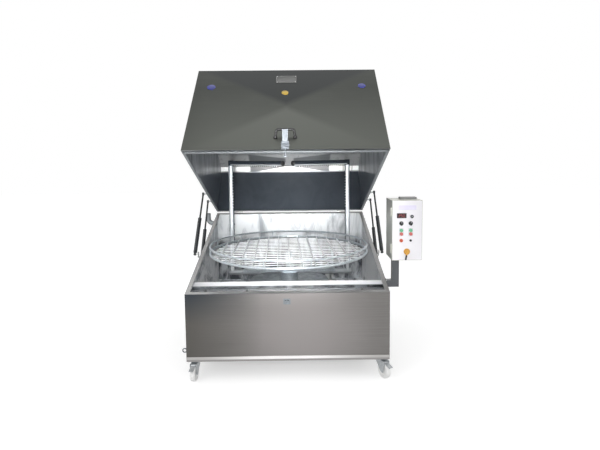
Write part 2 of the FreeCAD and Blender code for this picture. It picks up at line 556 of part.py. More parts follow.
def heater():
    z = "caster_height + heater_level"
    flange = disc("heater_flange", "heater_flange_thickness", ("heater_x", "tank_depth", z), ALONG_Y)
    head = disc("heater_head", "heater_head_length", ("heater_x", "tank_depth + heater_flange_thickness", z),
                ALONG_Y)
    neck = disc("heater_neck", "heater_neck_length", ("heater_x", "tank_depth - heater_neck_length", z), ALONG_Y)
    tip = "tank_depth - element_length - element_entry"
    rods = [disc("element_radius", "element_length", ("heater_x", tip, f"{z} + {side} * element_gap"), ALONG_Y)
            for side in (-1, 1)]
    bend = hoop("element_gap", "element_radius", ("heater_x", tip, z), angle=180)
    bend.Placement.Rotation = Rotation(Vector(0, 0, 1), Vector(0, -1, 0), Vector(1, 0, 0), "ZXY")
    name_node("heater", fuse(flange, head, neck, bend, *rods))


# ---- lid, its hinges, handle and latch, modelled closed ----

LID_FRONT_Y = "(-lid_overhang)"
LID_FRONT_Z = (f"({RIM_FRONT} - lid_overhang * (rear_height - front_height) / tank_depth"
               f" + lid_gap / cos({SLOPE}))")
LEAN = f"atan(lid_lean / (caster_height + lid_top - {LID_FRONT_Z}))"


def on_lid_front(piece, x, s, n):
    """Put a piece on the lid's front wall: s up the wall from its lower edge, n out from it."""
    y = f"{LID_FRONT_Y} + ({s}) * sin({LEAN}) - ({n}) * cos({LEAN})"
    z = f"{LID_FRONT_Z} + ({s}) * cos({LEAN}) + ({n}) * sin({LEAN})"
    return put(group(piece), (x, y, z), ((-1, 0, 0), LEAN))


def cross_break():
    """The front wall's shallow pyramid, its point at the middle of the wall."""
    inset = "2 * lid_sheet"
    wall = f"((caster_height + lid_top - {LID_FRONT_Z}) / cos({LEAN}))"
    piece = doc.addObject("Part::Wedge", "CrossBreak")
    bind(piece, Xmin=f"{inset} - lid_width / 2", Xmax=f"lid_width / 2 - {inset}",
         Ymin="0", Ymax="lid_break", Zmin=inset, Zmax=f"{wall} - {inset}",
         X2min="latch_x - 1", X2max="latch_x + 1", Z2min=f"{wall} / 2 - 1", Z2max=f"{wall} / 2 + 1")
    facing = group(piece)
    put(facing, ("0", "0", "0"), ((1, 0, 0), 180))
    put(facing, ("0", "0", wall), ((1, 0, 0), 180))
    return on_lid_front(facing, "0", "0", "0")


def lid_shell():
    corner = "(lid_top - rear_height - lid_back_height)"
    solid = prism([(LID_FRONT_Y, LID_FRONT_Z),
                   ("tank_depth", f"caster_height + rear_height + lid_gap / cos({SLOPE})"),
                   ("tank_depth", "caster_height + rear_height + lid_back_height"),
                   (f"tank_depth - {corner}", "caster_height + lid_top"),
                   ("lid_lean - lid_overhang", "caster_height + lid_top")], "lid_width")
    hood = hollow(solid, "lid_sheet", lambda n: n.z < -0.5)
    start = f"((lid_gap * sin({SLOPE}) - lid_overhang) / cos({SLOPE}))"
    length = f"((tank_depth + lid_overhang) / cos({SLOPE}) - 1)"
    rim = cut(on_rim(block("lid_width", length, "lid_sheet"), "-lid_width / 2", start, "lid_gap"),
              on_rim(block("lid_width - 2 * lid_side_flange", length, "3 * lid_sheet"),
                     "lid_side_flange - lid_width / 2", f"{start} + lid_front_flange",
                     "lid_gap - lid_sheet"))
    name_node("lid_shell", fuse(hood, rim, cross_break()))
    inset = "(lid_width - tank_width) / 2"
    seal_length = f"(tank_depth / cos({SLOPE}) - 6)"
    depth = "lid_gap - seal_clearance"
    seal = cut(on_rim(block("tank_width", seal_length, depth), f"{inset} - lid_width / 2", "2",
                      "seal_clearance"),
               on_rim(block("tank_width - 2 * seal_width", f"{seal_length} - 2 * seal_width", "2 * lid_gap"),
                      "seal_width - tank_width / 2", "2 + seal_width", "seal_clearance - 1"))
    name_node("lid_seal", seal)


def hinges():
    fixed, moving = [], []
    reach = "(knuckle_radius + knuckle_gap)"
    barrel = "(knuckle_length - knuckle_gap)"
    for side in (-1, 1):
        x = f"{side} * hinge_x"
        outer = [mid_block("3 * knuckle_length", "leaf_thickness", "leaf_height",
                           (x, "tank_depth", f"{HINGE_Z} - {reach} - leaf_height")),
                 disc("pin_radius", "3 * knuckle_length", (f"{x} - 1.5 * knuckle_length", HINGE_Y, HINGE_Z), ALONG_X)]
        for place in (-1, 1):
            centre = f"{x} + {place} * knuckle_length"
            outer.append(disc("knuckle_radius", barrel, (f"{centre} - {barrel} / 2", HINGE_Y, HINGE_Z), ALONG_X))
            outer.append(mid_block(barrel, "leaf_thickness", f"{reach} + knuckle_gap",
                                   (centre, "tank_depth", f"{HINGE_Z} - {reach} - knuckle_gap")))
        fixed.append(fuse(*outer))
        top = mid_block("3 * knuckle_length", "leaf_thickness", "leaf_height",
                        (x, "tank_depth", f"{HINGE_Z} + {reach}"))
        knuckle = disc("knuckle_radius", barrel, (f"{x} - {barrel} / 2", HINGE_Y, HINGE_Z), ALONG_X)
        web = mid_block(barrel, "leaf_thickness", f"{reach} + knuckle_gap", (x, "tank_depth", HINGE_Z))
        hole = pivot_hole("pin_radius", "knuckle_length", (f"{x} - knuckle_length / 2", HINGE_Y, HINGE_Z), ALONG_X)
        moving.append(cut(fuse(top, knuckle, web), hole))
    name_node("tank_hinges", group(*fixed))
    name_node("lid_hinges", group(*moving))


def handle_and_latch():
    foot = [on_lid_front(disc("handle_radius + handle_flange", "handle_flange_height", turn=((1, 0, 0), 90)),
                         f"{side} * handle_foot_x + latch_x", "handle_foot_s", "0") for side in (-1, 1)]
    reach = [(-1, "foot"), (-1, "bar"), (1, "bar"), (1, "foot")]
    path = [Vector(side * size(f"handle_{end}_x"), -size("handle_bar_n") if end == "bar" else 0,
                   size(f"handle_{end}_s")) for side, end in reach]
    bow = on_lid_front(bent_bar(path, size("handle_bend"), size("handle_radius")), "latch_x", "0", "0")
    skin = on_lid_front(mid_block("lid_width", "4 * handle_radius", "4 * handle_foot_s", (0, 0, 0)),
                        "0", "0", "0")
    name_node("bow_handle", cut(fuse(bow, *foot), skin, cross_break()))

    base = on_lid_front(block("latch_base_width", "latch_base_out", "latch_base_high - latch_base_low"),
                        "latch_x - latch_base_width / 2", "latch_base_low", "latch_base_out")
    cheeks = []
    edge = "(latch_lever_width / 2 + latch_cheek_gap)"
    out = "latch_pivot_n + latch_cheek_reach"
    for at in (f"latch_x + {edge}", f"latch_x - {edge} - latch_cheek"):
        cheeks.append(on_lid_front(block("latch_cheek", out, "2 * latch_cheek_reach"), at,
                                   "latch_pivot_s - latch_cheek_reach", out))
    pin = on_lid_front(disc("pin_radius", f"2 * ({edge} + latch_cheek)", turn=ALONG_X),
                       f"latch_x - {edge} - latch_cheek", "latch_pivot_s", "latch_pivot_n")
    ear = "(hook_boss_width / 2 + hook_ear_gap)"
    hook_pin = on_lid_front(disc("hook_radius", f"2 * ({ear} + hook_ear)", turn=ALONG_X),
                            f"latch_x - {ear} - hook_ear", "hook_s", "hook_n")
    ears = [on_lid_front(block("hook_ear", "hook_n + hook_boss", "2 * hook_boss"), f"latch_x {at}",
                         "hook_s - hook_boss", "hook_n + hook_boss") for at in (f"- {ear} - hook_ear", f"+ {ear}")]
    name_node("latch_base", cut(fuse(base, pin, hook_pin, *cheeks, *ears), cross_break()))

    # lever and hook in the wall's frame: local z up the wall, local -y out from it, pivot at 0
    plate = block("latch_lever_width", "latch_lever_sheet", "latch_lever_length",
                  ("-latch_lever_width / 2", "-latch_lever_sheet / 2", 0))
    boss = disc("latch_boss", "latch_lever_width", ("-latch_lever_width / 2", 0, 0), ALONG_X)
    name_node("latch_lever", cut(fuse(plate, boss), pivot_hole(
        "pin_radius", "2 * latch_lever_width", ("-latch_lever_width", 0, 0), ALONG_X)))
    ring = disc("hook_boss", "hook_boss_width", ("-hook_boss_width / 2", 0, 0), ALONG_X)
    shank = disc("hook_radius", "hook_drop", (0, 0, "-hook_drop"))
    bar = disc("hook_radius", "hook_bar", ("-hook_bar / 2", 0, "-hook_drop"), ALONG_X)
    name_node("latch_hook", cut(fuse(ring, shank, bar), pivot_hole(
        "hook_radius", "2 * hook_boss_width", ("-hook_boss_width", 0, 0), ALONG_X)))


# ---- gas struts ----

def strut_ends(which):
    low = Vector(0, size(which + "_foot_y"), size("caster_height") + size(which + "_foot_z"))
    high = Vector(0, size(which + "_head_y"), size("caster_height") + size(which + "_head_z"))
    return low, high


def struts():
    brackets, studs = [], []
    for side, word in ((-1, "left"), (1, "right")):
        for which in ("front", "rear"):
            low, high = strut_ends(which)
            heading = (high - low).normalize()
            tilt = Rotation(Vector(0, 0, 1), heading)
            x = Vector(side * size("strut_x"), 0, 0)

            seat = "(eye_radius + strut_guide / 7)"
            tube = cut(disc("strut_radius", f"strut_tube - {seat}", (0, 0, seat)),
                       disc("strut_bore", f"strut_tube - {seat} - 2 * strut_guide",
                            (0, 0, f"{seat} + strut_guide")),
                       pivot_hole("strut_rod", "2 * strut_guide", (0, 0, "strut_tube - strut_guide")))
            eye = disc("eye_radius", "eye_width", ("-eye_width / 2", 0, 0), ALONG_X)
            neck = disc("strut_rod", "eye_radius", (0, 0, "eye_radius / 2"))
            hole = pivot_hole("stud_radius", "2 * eye_width", ("-eye_width", 0, 0), ALONG_X)
            cylinder = cut(fuse(tube, eye, neck), hole)
            cylinder.Placement = Placement(low + x, tilt)
            name_node(f"gas_cylinder_{which}_{word}", cylinder)

            piston = disc("strut_bore - fit_gap", "piston_length", (0, 0, "-strut_rod_length"))
            rod = disc("strut_rod", "strut_rod_length - piston_length", (0, 0, "-strut_rod_length"))
            head = disc("eye_radius", "eye_width", ("-eye_width / 2", 0, 0), ALONG_X)
            rod = fuse(piston, rod, head)
            rod.Placement = Placement(high + x, tilt)
            name_node(f"gas_rod_{which}_{word}", rod)

            y, z = f"{which}_foot_y", f"caster_height + {which}_foot_z"
            reach = "(strut_x + eye_width / 2 + stud_head_thickness + hook_ear_gap / 2)"

            def outward(start, width):
                """The x at which a piece starts that lies outside the wall on this side."""
                return start if side > 0 else f"-({start}) - ({width})"

            def foot_plate(start, width, lowest, height):
                return block(width, "stud_plate_width", height,
                             (outward(start, width), f"{y} - stud_plate_width / 2", lowest))
            wall, root = "tank_width / 2", "tank_width / 2"
            plates = [foot_plate(wall, "stud_plate", f"{z} - stud_plate_height / 2", "stud_plate_height")]
            if which == "front":
                # this foot is level with the rim: a cranked plate clears the closed lid's side
                root = "tank_width / 2 + crank_out"
                ledge = f"{z} - crank_drop + stud_plate_height / 2 - stud_plate"
                plates = [foot_plate(wall, "stud_plate", f"{z} - crank_drop - stud_plate_height / 2",
                                     "stud_plate_height"),
                          foot_plate(wall, "crank_out + stud_plate", ledge, "stud_plate"),
                          foot_plate(root, "stud_plate", ledge, f"({z}) + crank_top - ({ledge})")]
            stud = disc("stud_radius", f"{reach} - ({root})",
                        (outward(root, f"{reach} - ({root})"), y, z), ALONG_X)
            head = disc("stud_head", "stud_head_thickness",
                        (outward(f"{reach} - stud_head_thickness", "stud_head_thickness"), y, z), ALONG_X)
            brackets.append(fuse(stud, head, *plates))

            # studs on the lid, set out at the open lid's place
            skin = "lid_width / 2"
            tip = "(strut_x - eye_width / 2 - open_pivot_gap)"
            y, z = f"{which}_head_y", f"caster_height + {which}_head_z"
            nut = "stud_nut_height"
            low_x = (skin, skin, f"{skin} - lid_sheet - {nut}") if side > 0 else (
                f"-{tip}", f"-{skin} - {nut}", f"lid_sheet - {skin}")
            outside = fuse(disc("stud_radius", f"{tip} - {skin}", (low_x[0], y, z), ALONG_X),
                           disc("stud_washer", nut, (low_x[1], y, z), ALONG_X))
            studs += [outside, disc("stud_nut", nut, (low_x[2], y, z), ALONG_X)]
    name_node("strut_brackets", group(*brackets))
    name_node("lid_studs", group(*studs))


# ---- basket ----

def basket():
    centre = (0, "basket_y")
    top, base = "caster_height + top_ring_level", "caster_height + base_ring_level"
    posts = []
    for k in range(12):
        angle = math.radians(30 * k + 15)
        posts.append(disc("post_radius", "top_ring_level - base_ring_level",
                          (f"basket_radius * {math.cos(angle):.6f}",
                           f"basket_y + basket_radius * {math.sin(angle):.6f}", base)))
    rings = [hoop("basket_radius", "top_ring_radius", (*centre, top)),
             hoop("basket_radius", "base_ring_radius", (*centre, base))]
    name_node("basket_rings", fuse(*rings, *posts))

    inner = "(basket_radius - base_ring_radius - grid_gap)"
    bottom = f"({base} - bar_height / 2)"
    bars = []
    for k in range(-6, 7):
        half = f"sqrt({inner} ^ 2 - ({abs(k)} * bar_pitch + bar_thickness / 2) ^ 2)"
        bars.append(block("bar_thickness", f"2 * {half}", "bar_height",
                          (f"{k} * bar_pitch - bar_thickness / 2", f"-{half}", 0)))
    for k in range(-9, 9):
        y = f"({k} + 0.5) * rod_pitch"
        half = f"sqrt(({inner} - rod_inset) ^ 2 - ({y}) ^ 2)"
        bars.append(disc("rod_radius", f"2 * {half}", (f"-{half}", y, "rod_radius / 6"), ALONG_X))
    grid = fuse(*bars)
    put(grid, (*centre, bottom), ((0, 0, 1), "basket_turn"))
    name_node("basket_grid", grid)

    hub_low = "(splash_level + hub_gap)"
    hub = disc("hub_radius", f"carrier_level - {hub_low}", (0, 0, f"caster_height + {hub_low}"))
    shaft = disc("shaft_radius", f"{hub_low} - shaft_bottom", (0, 0, "caster_height + shaft_bottom"))
    level = "caster_height + carrier_level"
    bar = block("carrier_length", "carrier_width", "carrier_height",
                ("-carrier_length / 2", "-carrier_width / 2", level))
    rise = "(base_ring_level - bar_height / 2 - carrier_level)"
    legs = [disc("leg_radius", rise, (f"{side} * leg_reach", 0, level)) for side in (-1, 1)]
    centre_post = disc("centre_post", rise, (0, 0, level))
    bolts = [disc("leg_bolt", "leg_bolt_height", (f"{side} * leg_reach", 0, f"{level} - leg_bolt_height"))
             for side in (-1, 1)]
    carrier = fuse(hub, shaft, bar, centre_post, *legs, *bolts)
    put(carrier, (0, "basket_y", 0), ((0, 0, 1), "basket_turn"))
    name_node("basket_carrier", carrier)


# ---- control box on its arm ----

def box_arm():
    tube, bottom, front = "arm_tube", "caster_height + arm_tube_bottom", "arm_tube_front"
    wall = "tank_width / 2"
    plate = block("arm_plate", "arm_plate_width", "arm_plate_height",
                  (wall, f"{front} + ({tube} - arm_plate_width) / 2", f"{bottom} + ({tube} - arm_plate_height) / 2"))
    post_x = "(box_left + arm_post_inset)"
    level = block(f"{post_x} + {tube} - {wall} - arm_plate", tube, tube, (f"{wall} + arm_plate", front, bottom))
    post = block(tube, tube, "box_bottom - arm_tube_bottom - arm_plate", (post_x, front, bottom))
    core = block(f"{tube} - 2 * arm_tube_wall", f"{tube} - 2 * arm_tube_wall",
                 "box_bottom - arm_tube_bottom - arm_plate - arm_tube",
                 (f"{post_x} + arm_tube_wall", f"{front} + arm_tube_wall", f"{bottom} + arm_tube"))
    head = block("arm_head_width", "arm_head_depth", "arm_plate",
                 (f"{post_x} - arm_head_side", f"{front} - arm_head_front", "caster_height + box_bottom - arm_plate"))
    name_node("box_arm", fuse(cut(fuse(level, post), core), plate, head))


def box_place(x, z):
    return f"box_left + {x}", f"caster_height + box_bottom + {z}"


def control_box():
    x, z = box_place("0", "0")
    back = "(box_front + door_depth + door_gap)"
    outer = block("box_width", "box_depth - door_depth - door_gap", "box_height", (x, back, z))
    inner = block("box_width - 2 * box_sheet", "box_depth - door_depth - door_gap - box_sheet",
                  "box_height - 2 * box_sheet", (f"{x} + box_sheet", back, f"{z} + box_sheet"))
    ridge = block("ridge_length", "ridge_depth", "ridge_height",
                  (f"{x} + ridge_x", f"{back} + ridge_y", f"{z} + box_height"))
    hinge_z = [f"{z} + box_height * {share}" for share in (0.2, 0.8)]
    axis_x = "(box_left - box_hinge_radius - door_gap)"
    web = "box_hinge_radius + door_gap"
    barrel = "(box_knuckle - box_knuckle_gap)"
    knuckles = []
    for middle in hinge_z:
        knuckles.append(disc("box_pin_radius", "box_pin_length", (axis_x, back, f"{middle} - box_pin_length / 2")))
        for low in ("- box_pin_length / 2", "+ box_knuckle / 2 + box_knuckle_gap"):
            knuckles.append(disc("box_hinge_radius", barrel, (axis_x, back, f"{middle} {low}")))
            knuckles.append(block(web, "box_hinge_web", barrel, (axis_x, back, f"{middle} {low}")))
    name_node("control_box", fuse(cut(outer, inner), ridge, *knuckles))

    pan = cut(block("box_width", "door_depth", "box_height", (x, "box_front", z)),
              block("box_width - 2 * box_sheet", "door_depth - box_sheet", "box_height - 2 * box_sheet",
                    (f"{x} + box_sheet", "box_front + box_sheet", f"{z} + box_sheet")))
    leaves, holes = [], []
    for middle in hinge_z:
        low = f"{middle} - box_knuckle / 2"
        leaves.append(disc("box_hinge_radius", "box_knuckle", (axis_x, back, low)))
        leaves.append(block(web, "box_hinge_web", "box_knuckle", (axis_x, f"{back} - box_hinge_web - door_gap", low)))
        holes.append(pivot_hole("box_pin_radius", "box_knuckle", (axis_x, back, low)))
    for column in ("left_column", "right_column"):
        for row in ("green_z", "red_z"):
            px, pz = box_place(column, row)
            holes.append(pivot_hole("button_stalk", "4 * box_sheet", (px, "box_front - box_sheet", pz), ALONG_Y))
    name_node("control_door", cut(fuse(pan, *leaves), *holes))


def door_items():
    face = "box_front"

    def knob(radius, length, x, z, gap="0"):
        px, pz = box_place(x, z)
        return disc(radius, length, (px, f"{face} - ({gap}) - ({length})", pz), ALONG_Y)
    x, z = box_place("display_x - display_width / 2", "display_z - display_height / 2")
    screen = block("display_width", "display_proud", "display_height", (x, f"{face} - display_proud", z))
    lamp = knob("lamp_radius", "lamp_proud", "left_column", "lamp_z")
    reset = knob("reset_radius", "reset_proud", "right_column", "lamp_z")
    ring_outer = knob("lamp_radius", "ring_proud", "ring_x", "ring_z")
    plate = knob("switch_plate", "switch_plate_thickness", "switch_x", "switch_z")
    collars = []
    for column in ("left_column", "right_column"):
        px, pz = box_place(f"{column} - button_radius - collar_edge", "red_z - button_radius - collar_edge")
        shell = block("2 * (button_radius + collar_edge)", "collar_proud",
                      "green_z - red_z + 2 * (button_radius + collar_edge)", (px, f"{face} - collar_proud", pz))
        wells = [knob("button_radius + collar_gap", "collar_proud", column, row) for row in ("green_z", "red_z")]
        collars.append(cut(shell, *wells))
    name_node("door_fittings", group(screen, lamp, reset, ring_outer, plate, *collars))

    for word in ("left", "right"):
        column = word + "_column"
        body = knob("selector_radius", "selector_base", column, "selector_z", "door_gap")
        px, pz = box_place(f"{column} - selector_grip / 2", "selector_z - selector_radius")
        grip = block("selector_grip", "selector_length", "2 * selector_radius",
                     (px, f"{face} - door_gap - selector_length", pz))
        name_node(f"selector_{word}", fuse(body, grip))
        for colour in ("green", "red"):
            lift = "button_travel + button_rest"
            cap = knob("button_radius", "button_proud", column, colour + "_z", lift)
            px, pz = box_place(column, colour + "_z")
            stalk = disc("button_stalk", "button_travel + box_sheet + button_tail", (px, f"{face} - {lift}", pz),
                         ALONG_Y)
            name_node(f"{colour}_button_{word}", fuse(cap, stalk))
    px, pz = box_place("switch_x", "switch_z")
    hub = disc("switch_hub", "switch_hub_height", (0, "-switch_hub_height", 0), ALONG_Y)
    arm = block("switch_lever_width", "switch_lever_height", "switch_lever",
                ("-switch_lever_width / 2", "-switch_hub_height + 1", "-switch_lever"))
    switch = put(fuse(hub, arm), (px, f"{face} - switch_plate_thickness - door_gap", pz), ((0, 1, 0), "switch_turn"))
    name_node("main_switch", switch)


# ---- castors ----

CASTERS = (("front_left", -1, 0, -6), ("front_right", 1, 0, 28), ("rear_left", -1, 1, 165),
           ("rear_right", 1, 1, 200))


def caster_spot(side, rear):
    y = "tank_depth - caster_inset" if rear else "caster_inset"
    return f"{side} * (tank_width / 2 - caster_inset)", y


def caster(word, side, rear, yaw):
    """Fork and wheel about the kingpin's axis, the wheel trailing along local -y."""
    inner = "(wheel_width / 2 + fork_gap)"
    top = "(caster_height - plate_sheet - swivel_gap)"
    crown_low = f"({top} - race_height - fork_sheet)"
    race = disc("race_radius", "race_height", (0, 0, f"{top} - race_height"))
    crown = block(f"2 * ({inner} + fork_sheet)", "pedal_pivot_y + race_radius", "fork_sheet",
                  (f"-{inner} - fork_sheet", "-pedal_pivot_y", crown_low))
    low_z, back_y = "wheel_radius - axle_radius - fork_edge", "-pedal_pivot_y - fork_edge - 2"
    legs = [prism([("race_radius * 0.8", f"{crown_low} + fork_sheet"), (back_y, f"{crown_low} + fork_sheet"),
                   (back_y, "pedal_pivot_z - fork_edge"), ("-caster_offset - axle_radius - fork_edge", low_z),
                   ("-caster_offset + axle_radius + fork_edge", low_z),
                   ("race_radius * 0.8", f"{crown_low} - 2 * fork_edge")],
                  "fork_sheet", f"{turn} * ({inner} + fork_sheet / 2)") for turn in (-1, 1)]
    axle = disc("axle_radius", f"2 * ({inner} + fork_sheet + axle_end)",
                (f"-{inner} - fork_sheet - axle_end", "-caster_offset", "wheel_radius"), ALONG_X)
    hole = pivot_hole("kingpin_radius", "5 * race_height", (0, 0, f"{crown_low} - race_height"))
    spot_x, spot_y = caster_spot(side, rear)
    turned = ((0, 0, 1), yaw)
    fork = cut(fuse(race, crown, axle, *legs), hole)
    if not rear:
        pin = disc("pin_radius", f"2 * {inner} + 2 * fork_sheet",
                   (f"-{inner} - fork_sheet", "-pedal_pivot_y", "pedal_pivot_z"), ALONG_X)
        fork = fuse(fork, pin)
    name_node(f"fork_{word}", put(fork, (spot_x, spot_y, 0), turned))

    tread = disc("wheel_radius", "wheel_width", ("-wheel_width / 2", "-caster_offset", "wheel_radius"), ALONG_X)
    doc.recompute()
    rounded = doc.addObject("Part::Fillet", "Tread")
    rounded.Base = tread
    rims = [k for k, edge in enumerate(tread.Shape.Edges, 1) if edge.Closed and len(edge.Vertexes) == 1]
    rounded.Edges = [(k, size("wheel_round"), size("wheel_round")) for k in rims]
    bore = pivot_hole("axle_radius", "2 * wheel_width", ("-wheel_width", "-caster_offset", "wheel_radius"), ALONG_X)
    dishes = [disc("wheel_dish", "wheel_dish_depth", (x, "-caster_offset", "wheel_radius"), ALONG_X)
              for x in ("-wheel_width / 2", "wheel_width / 2 - wheel_dish_depth")]
    name_node(f"wheel_{word}", put(cut(rounded, bore, *dishes), (spot_x, spot_y, 0), turned))

    if not rear:
        boss = disc("pedal_boss", "pedal_width", ("-pedal_width / 2", 0, 0), ALONG_X)
        tread = block("pedal_width", "pedal_reach", "pedal_sheet",
                      ("-pedal_width / 2", "-pedal_reach * cos(pedal_slope)", "-pedal_reach * sin(pedal_slope)"),
                      ((1, 0, 0), "pedal_slope"))
        arm = cut(fuse(boss, tread), pivot_hole("pin_radius", "2 * pedal_width", ("-pedal_width", 0, 0), ALONG_X))
        moved = put(group(arm), (0, "-pedal_pivot_y", "pedal_pivot_z"))
        name_node(f"pedal_{word}", put(group(moved), (spot_x, spot_y, 0), turned))


def casters():
    plates = []
    for word, side, rear, yaw in CASTERS:
        x, y = caster_spot(side, rear)
        plate = block("plate_length", "plate_width", "plate_sheet",
                      (f"{x} - plate_length / 2", f"{y} - plate_width / 2", "caster_height - plate_sheet"))
        under = "(caster_height - plate_sheet)"
        low = f"({under} - race_height - fork_sheet - 2 * swivel_gap - kingpin_head_height)"
        pin = disc("kingpin_radius", f"{under} - {low}", (x, y, low))
        head = disc("kingpin_head", "kingpin_head_height", (x, y, low))
        bolts = [disc("plate_bolt", "plate_sheet", (f"{x} + {a} * (plate_length / 2 - plate_bolt_inset)",
                                                    f"{y} + {b} * (plate_width / 2 - plate_bolt_inset)",
                                                    f"{under} - plate_sheet")) for a in (-1, 1) for b in (-1, 1)]
        plates.append(fuse(plate, pin, head, *bolts))
        caster(word, side, rear, yaw)
    name_node("caster_plates", group(*plates))


# ---- building, opening the lid, standing the model on its origin ----

ON_LID = ("lid_shell", "lid_seal", "lid_hinges", "bow_handle", "latch_base")


def open_lid():
    """Turn what the lid carries back about the hinge axis; the studs are set out there already."""
    y = f"{HINGE_Y} * (1 - cos(lid_open)) - {HINGE_Z} * sin(lid_open)"
    z = f"{HINGE_Z} * (1 - cos(lid_open)) + {HINGE_Y} * sin(lid_open)"
    for label in ON_LID:
        put(nodes[label], (0, y, z), ((-1, 0, 0), "lid_open"))
    doc.recompute()


def on_open_lid(s, n):
    """A point of the lid's front wall on the open lid, and how far the wall leans there."""
    rise = (size("rear_height") - size("front_height")) / size("tank_depth")
    low = (size("caster_height") + size("front_height") - size("lid_overhang") * rise
           + size("lid_gap") * math.hypot(1, rise))
    lean = math.atan(size("lid_lean") / (size("caster_height") + size("lid_top") - low))
    point = Vector(size("latch_x"), s * math.sin(lean) - n * math.cos(lean) - size("lid_overhang"),
                   low + s * math.cos(lean) + n * math.sin(lean))
    return nodes["lid_shell"].Placement.multVec(point), math.degrees(lean) + size("lid_open")


def hang_latch():
    pivots = {}
    for label, spot in (("latch_lever", "latch_pivot"), ("latch_hook", "hook")):
        point, lean = on_open_lid(size(spot + "_s"), size(spot + "_n"))
        tilt = size("latch_lift") - lean if label == "latch_lever" else -size("hook_lean")
        nodes[label].Placement = Placement(point, Rotation(Vector(1, 0, 0), tilt))
        pivots[label] = point
    doc.recompute()
    return pivots


def build():
    tank_shell()
    front_shelf()
    pedestal()
    gearmotor()
    tank_fittings()
    drain()
    spray_pipes()
    pump()
    heater()
    lid_shell()
    hinges()
    handle_and_latch()
    struts()
    basket()
    box_arm()
    control_box()
    door_items()
    casters()
    doc.recompute()


def check():
    """Stop at an object that did not build, or a sub-part with no sound shape."""
    for piece in doc.Objects:
        if {"Invalid", "Error"} & set(piece.State):
            raise RuntimeError(f"{piece.Name} ({piece.Label}): {piece.State} {piece.getStatusString()}")
    for label, piece in nodes.items():
        if piece.Shape.isNull() or not piece.Shape.isValid() or not piece.Shape.Solids:
            raise RuntimeError(f"{label}: no sound shape")


def export():
    """Write each sub-part with the origin under the middle of the whole, on the floor."""
    box = FreeCAD.BoundBox()
    for piece in nodes.values():
        box.add(piece.Shape.optimalBoundingBox(False, False))
    shift = Vector(-box.Center.x, -box.Center.y, -box.ZMin)
    os.makedirs("parts", exist_ok=True)
    for label, piece in nodes.items():
        piece.Shape.translated(shift).exportStep(f"parts/{label}.step")
    return shift


build()
open_lid()
pivots = hang_latch()
check()
shift = export()
print(len(nodes), "sub-parts; shift", tuple(round(v, 4) for v in shift))
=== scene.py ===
# %% [markdown]
# # A parts washer with its lid open
#
# A steel tank stands on four castors. A big hood is hinged at the rear and held open by gas
# struts, a round basket turns inside, and a control box hangs on an arm at the right.
# The rigid model comes in as a fixed frame; this lesson gives it its finishes and its small
# fittings, then sets up floor, light and camera. All sizes are metres.

# %% Load the frame
import bpy
import json
import math
from mathutils import Matrix, Vector


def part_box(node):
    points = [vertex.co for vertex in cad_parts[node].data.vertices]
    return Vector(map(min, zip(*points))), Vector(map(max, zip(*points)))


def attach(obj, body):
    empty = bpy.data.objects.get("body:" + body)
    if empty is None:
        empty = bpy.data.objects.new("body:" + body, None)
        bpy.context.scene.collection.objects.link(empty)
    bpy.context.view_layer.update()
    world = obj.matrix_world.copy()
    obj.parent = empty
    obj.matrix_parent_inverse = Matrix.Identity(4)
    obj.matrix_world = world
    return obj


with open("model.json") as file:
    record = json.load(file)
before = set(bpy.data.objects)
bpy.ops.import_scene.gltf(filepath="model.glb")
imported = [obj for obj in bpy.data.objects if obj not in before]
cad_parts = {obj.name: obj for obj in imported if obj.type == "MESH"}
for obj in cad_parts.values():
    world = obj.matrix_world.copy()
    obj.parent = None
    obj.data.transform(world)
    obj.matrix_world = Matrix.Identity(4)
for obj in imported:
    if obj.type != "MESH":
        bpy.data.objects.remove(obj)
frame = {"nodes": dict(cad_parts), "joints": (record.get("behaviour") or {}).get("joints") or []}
nodes = frame["nodes"]
joints = {joint["name"]: joint for joint in frame["joints"]}
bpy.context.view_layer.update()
bpy.ops.object.select_all(action="DESELECT")
MM = 0.001

# %% [markdown]
# ## Colours and nodes
#
# Colours are written as sRGB hex, the way a paint shop or a screen shows them. Blender's
# shaders work in linear light, so one function turns a hex value to linear numbers. A second
# small function adds a shader node with its settings and its links in one line.

# %% Helpers for colours and shader nodes
def paint(hex_value):
    """An sRGB hex colour as linear red, green, blue and alpha."""
    parts = [int(hex_value[k:k + 2], 16) / 255 for k in (1, 3, 5)]
    return tuple(c / 12.92 if c <= 0.04045 else ((c + 0.055) / 1.055) ** 2.4 for c in parts) + (1.0,)


def add(tree, kind, links=None, **settings):
    """Add a shader node; links gives each input a value or another node's output."""
    made = tree.nodes.new(kind)
    for name, value in settings.items():
        setattr(made, name, value)
    for socket, source in (links or {}).items():
        if isinstance(source, bpy.types.NodeSocket):
            tree.links.new(source, made.inputs[socket])
        else:
            made.inputs[socket].default_value = source
    return made


def blank_material(name):
    """A new material with its tree, its shader and its object coordinates."""
    material = bpy.data.materials.new(name)
    material.use_nodes = True
    tree = material.node_tree
    place = add(tree, "ShaderNodeTexCoord")
    return material, tree, tree.nodes["Principled BSDF"], place.outputs["Object"], place.outputs["Normal"]


# %% [markdown]
# ## A frame on the hood's front wall
#
# The open hood's front wall leans back. Its lower edge and its upper edge are read from the
# shell's own vertices, and everything on the wall is placed by three numbers: across, up the
# wall, and out from it.

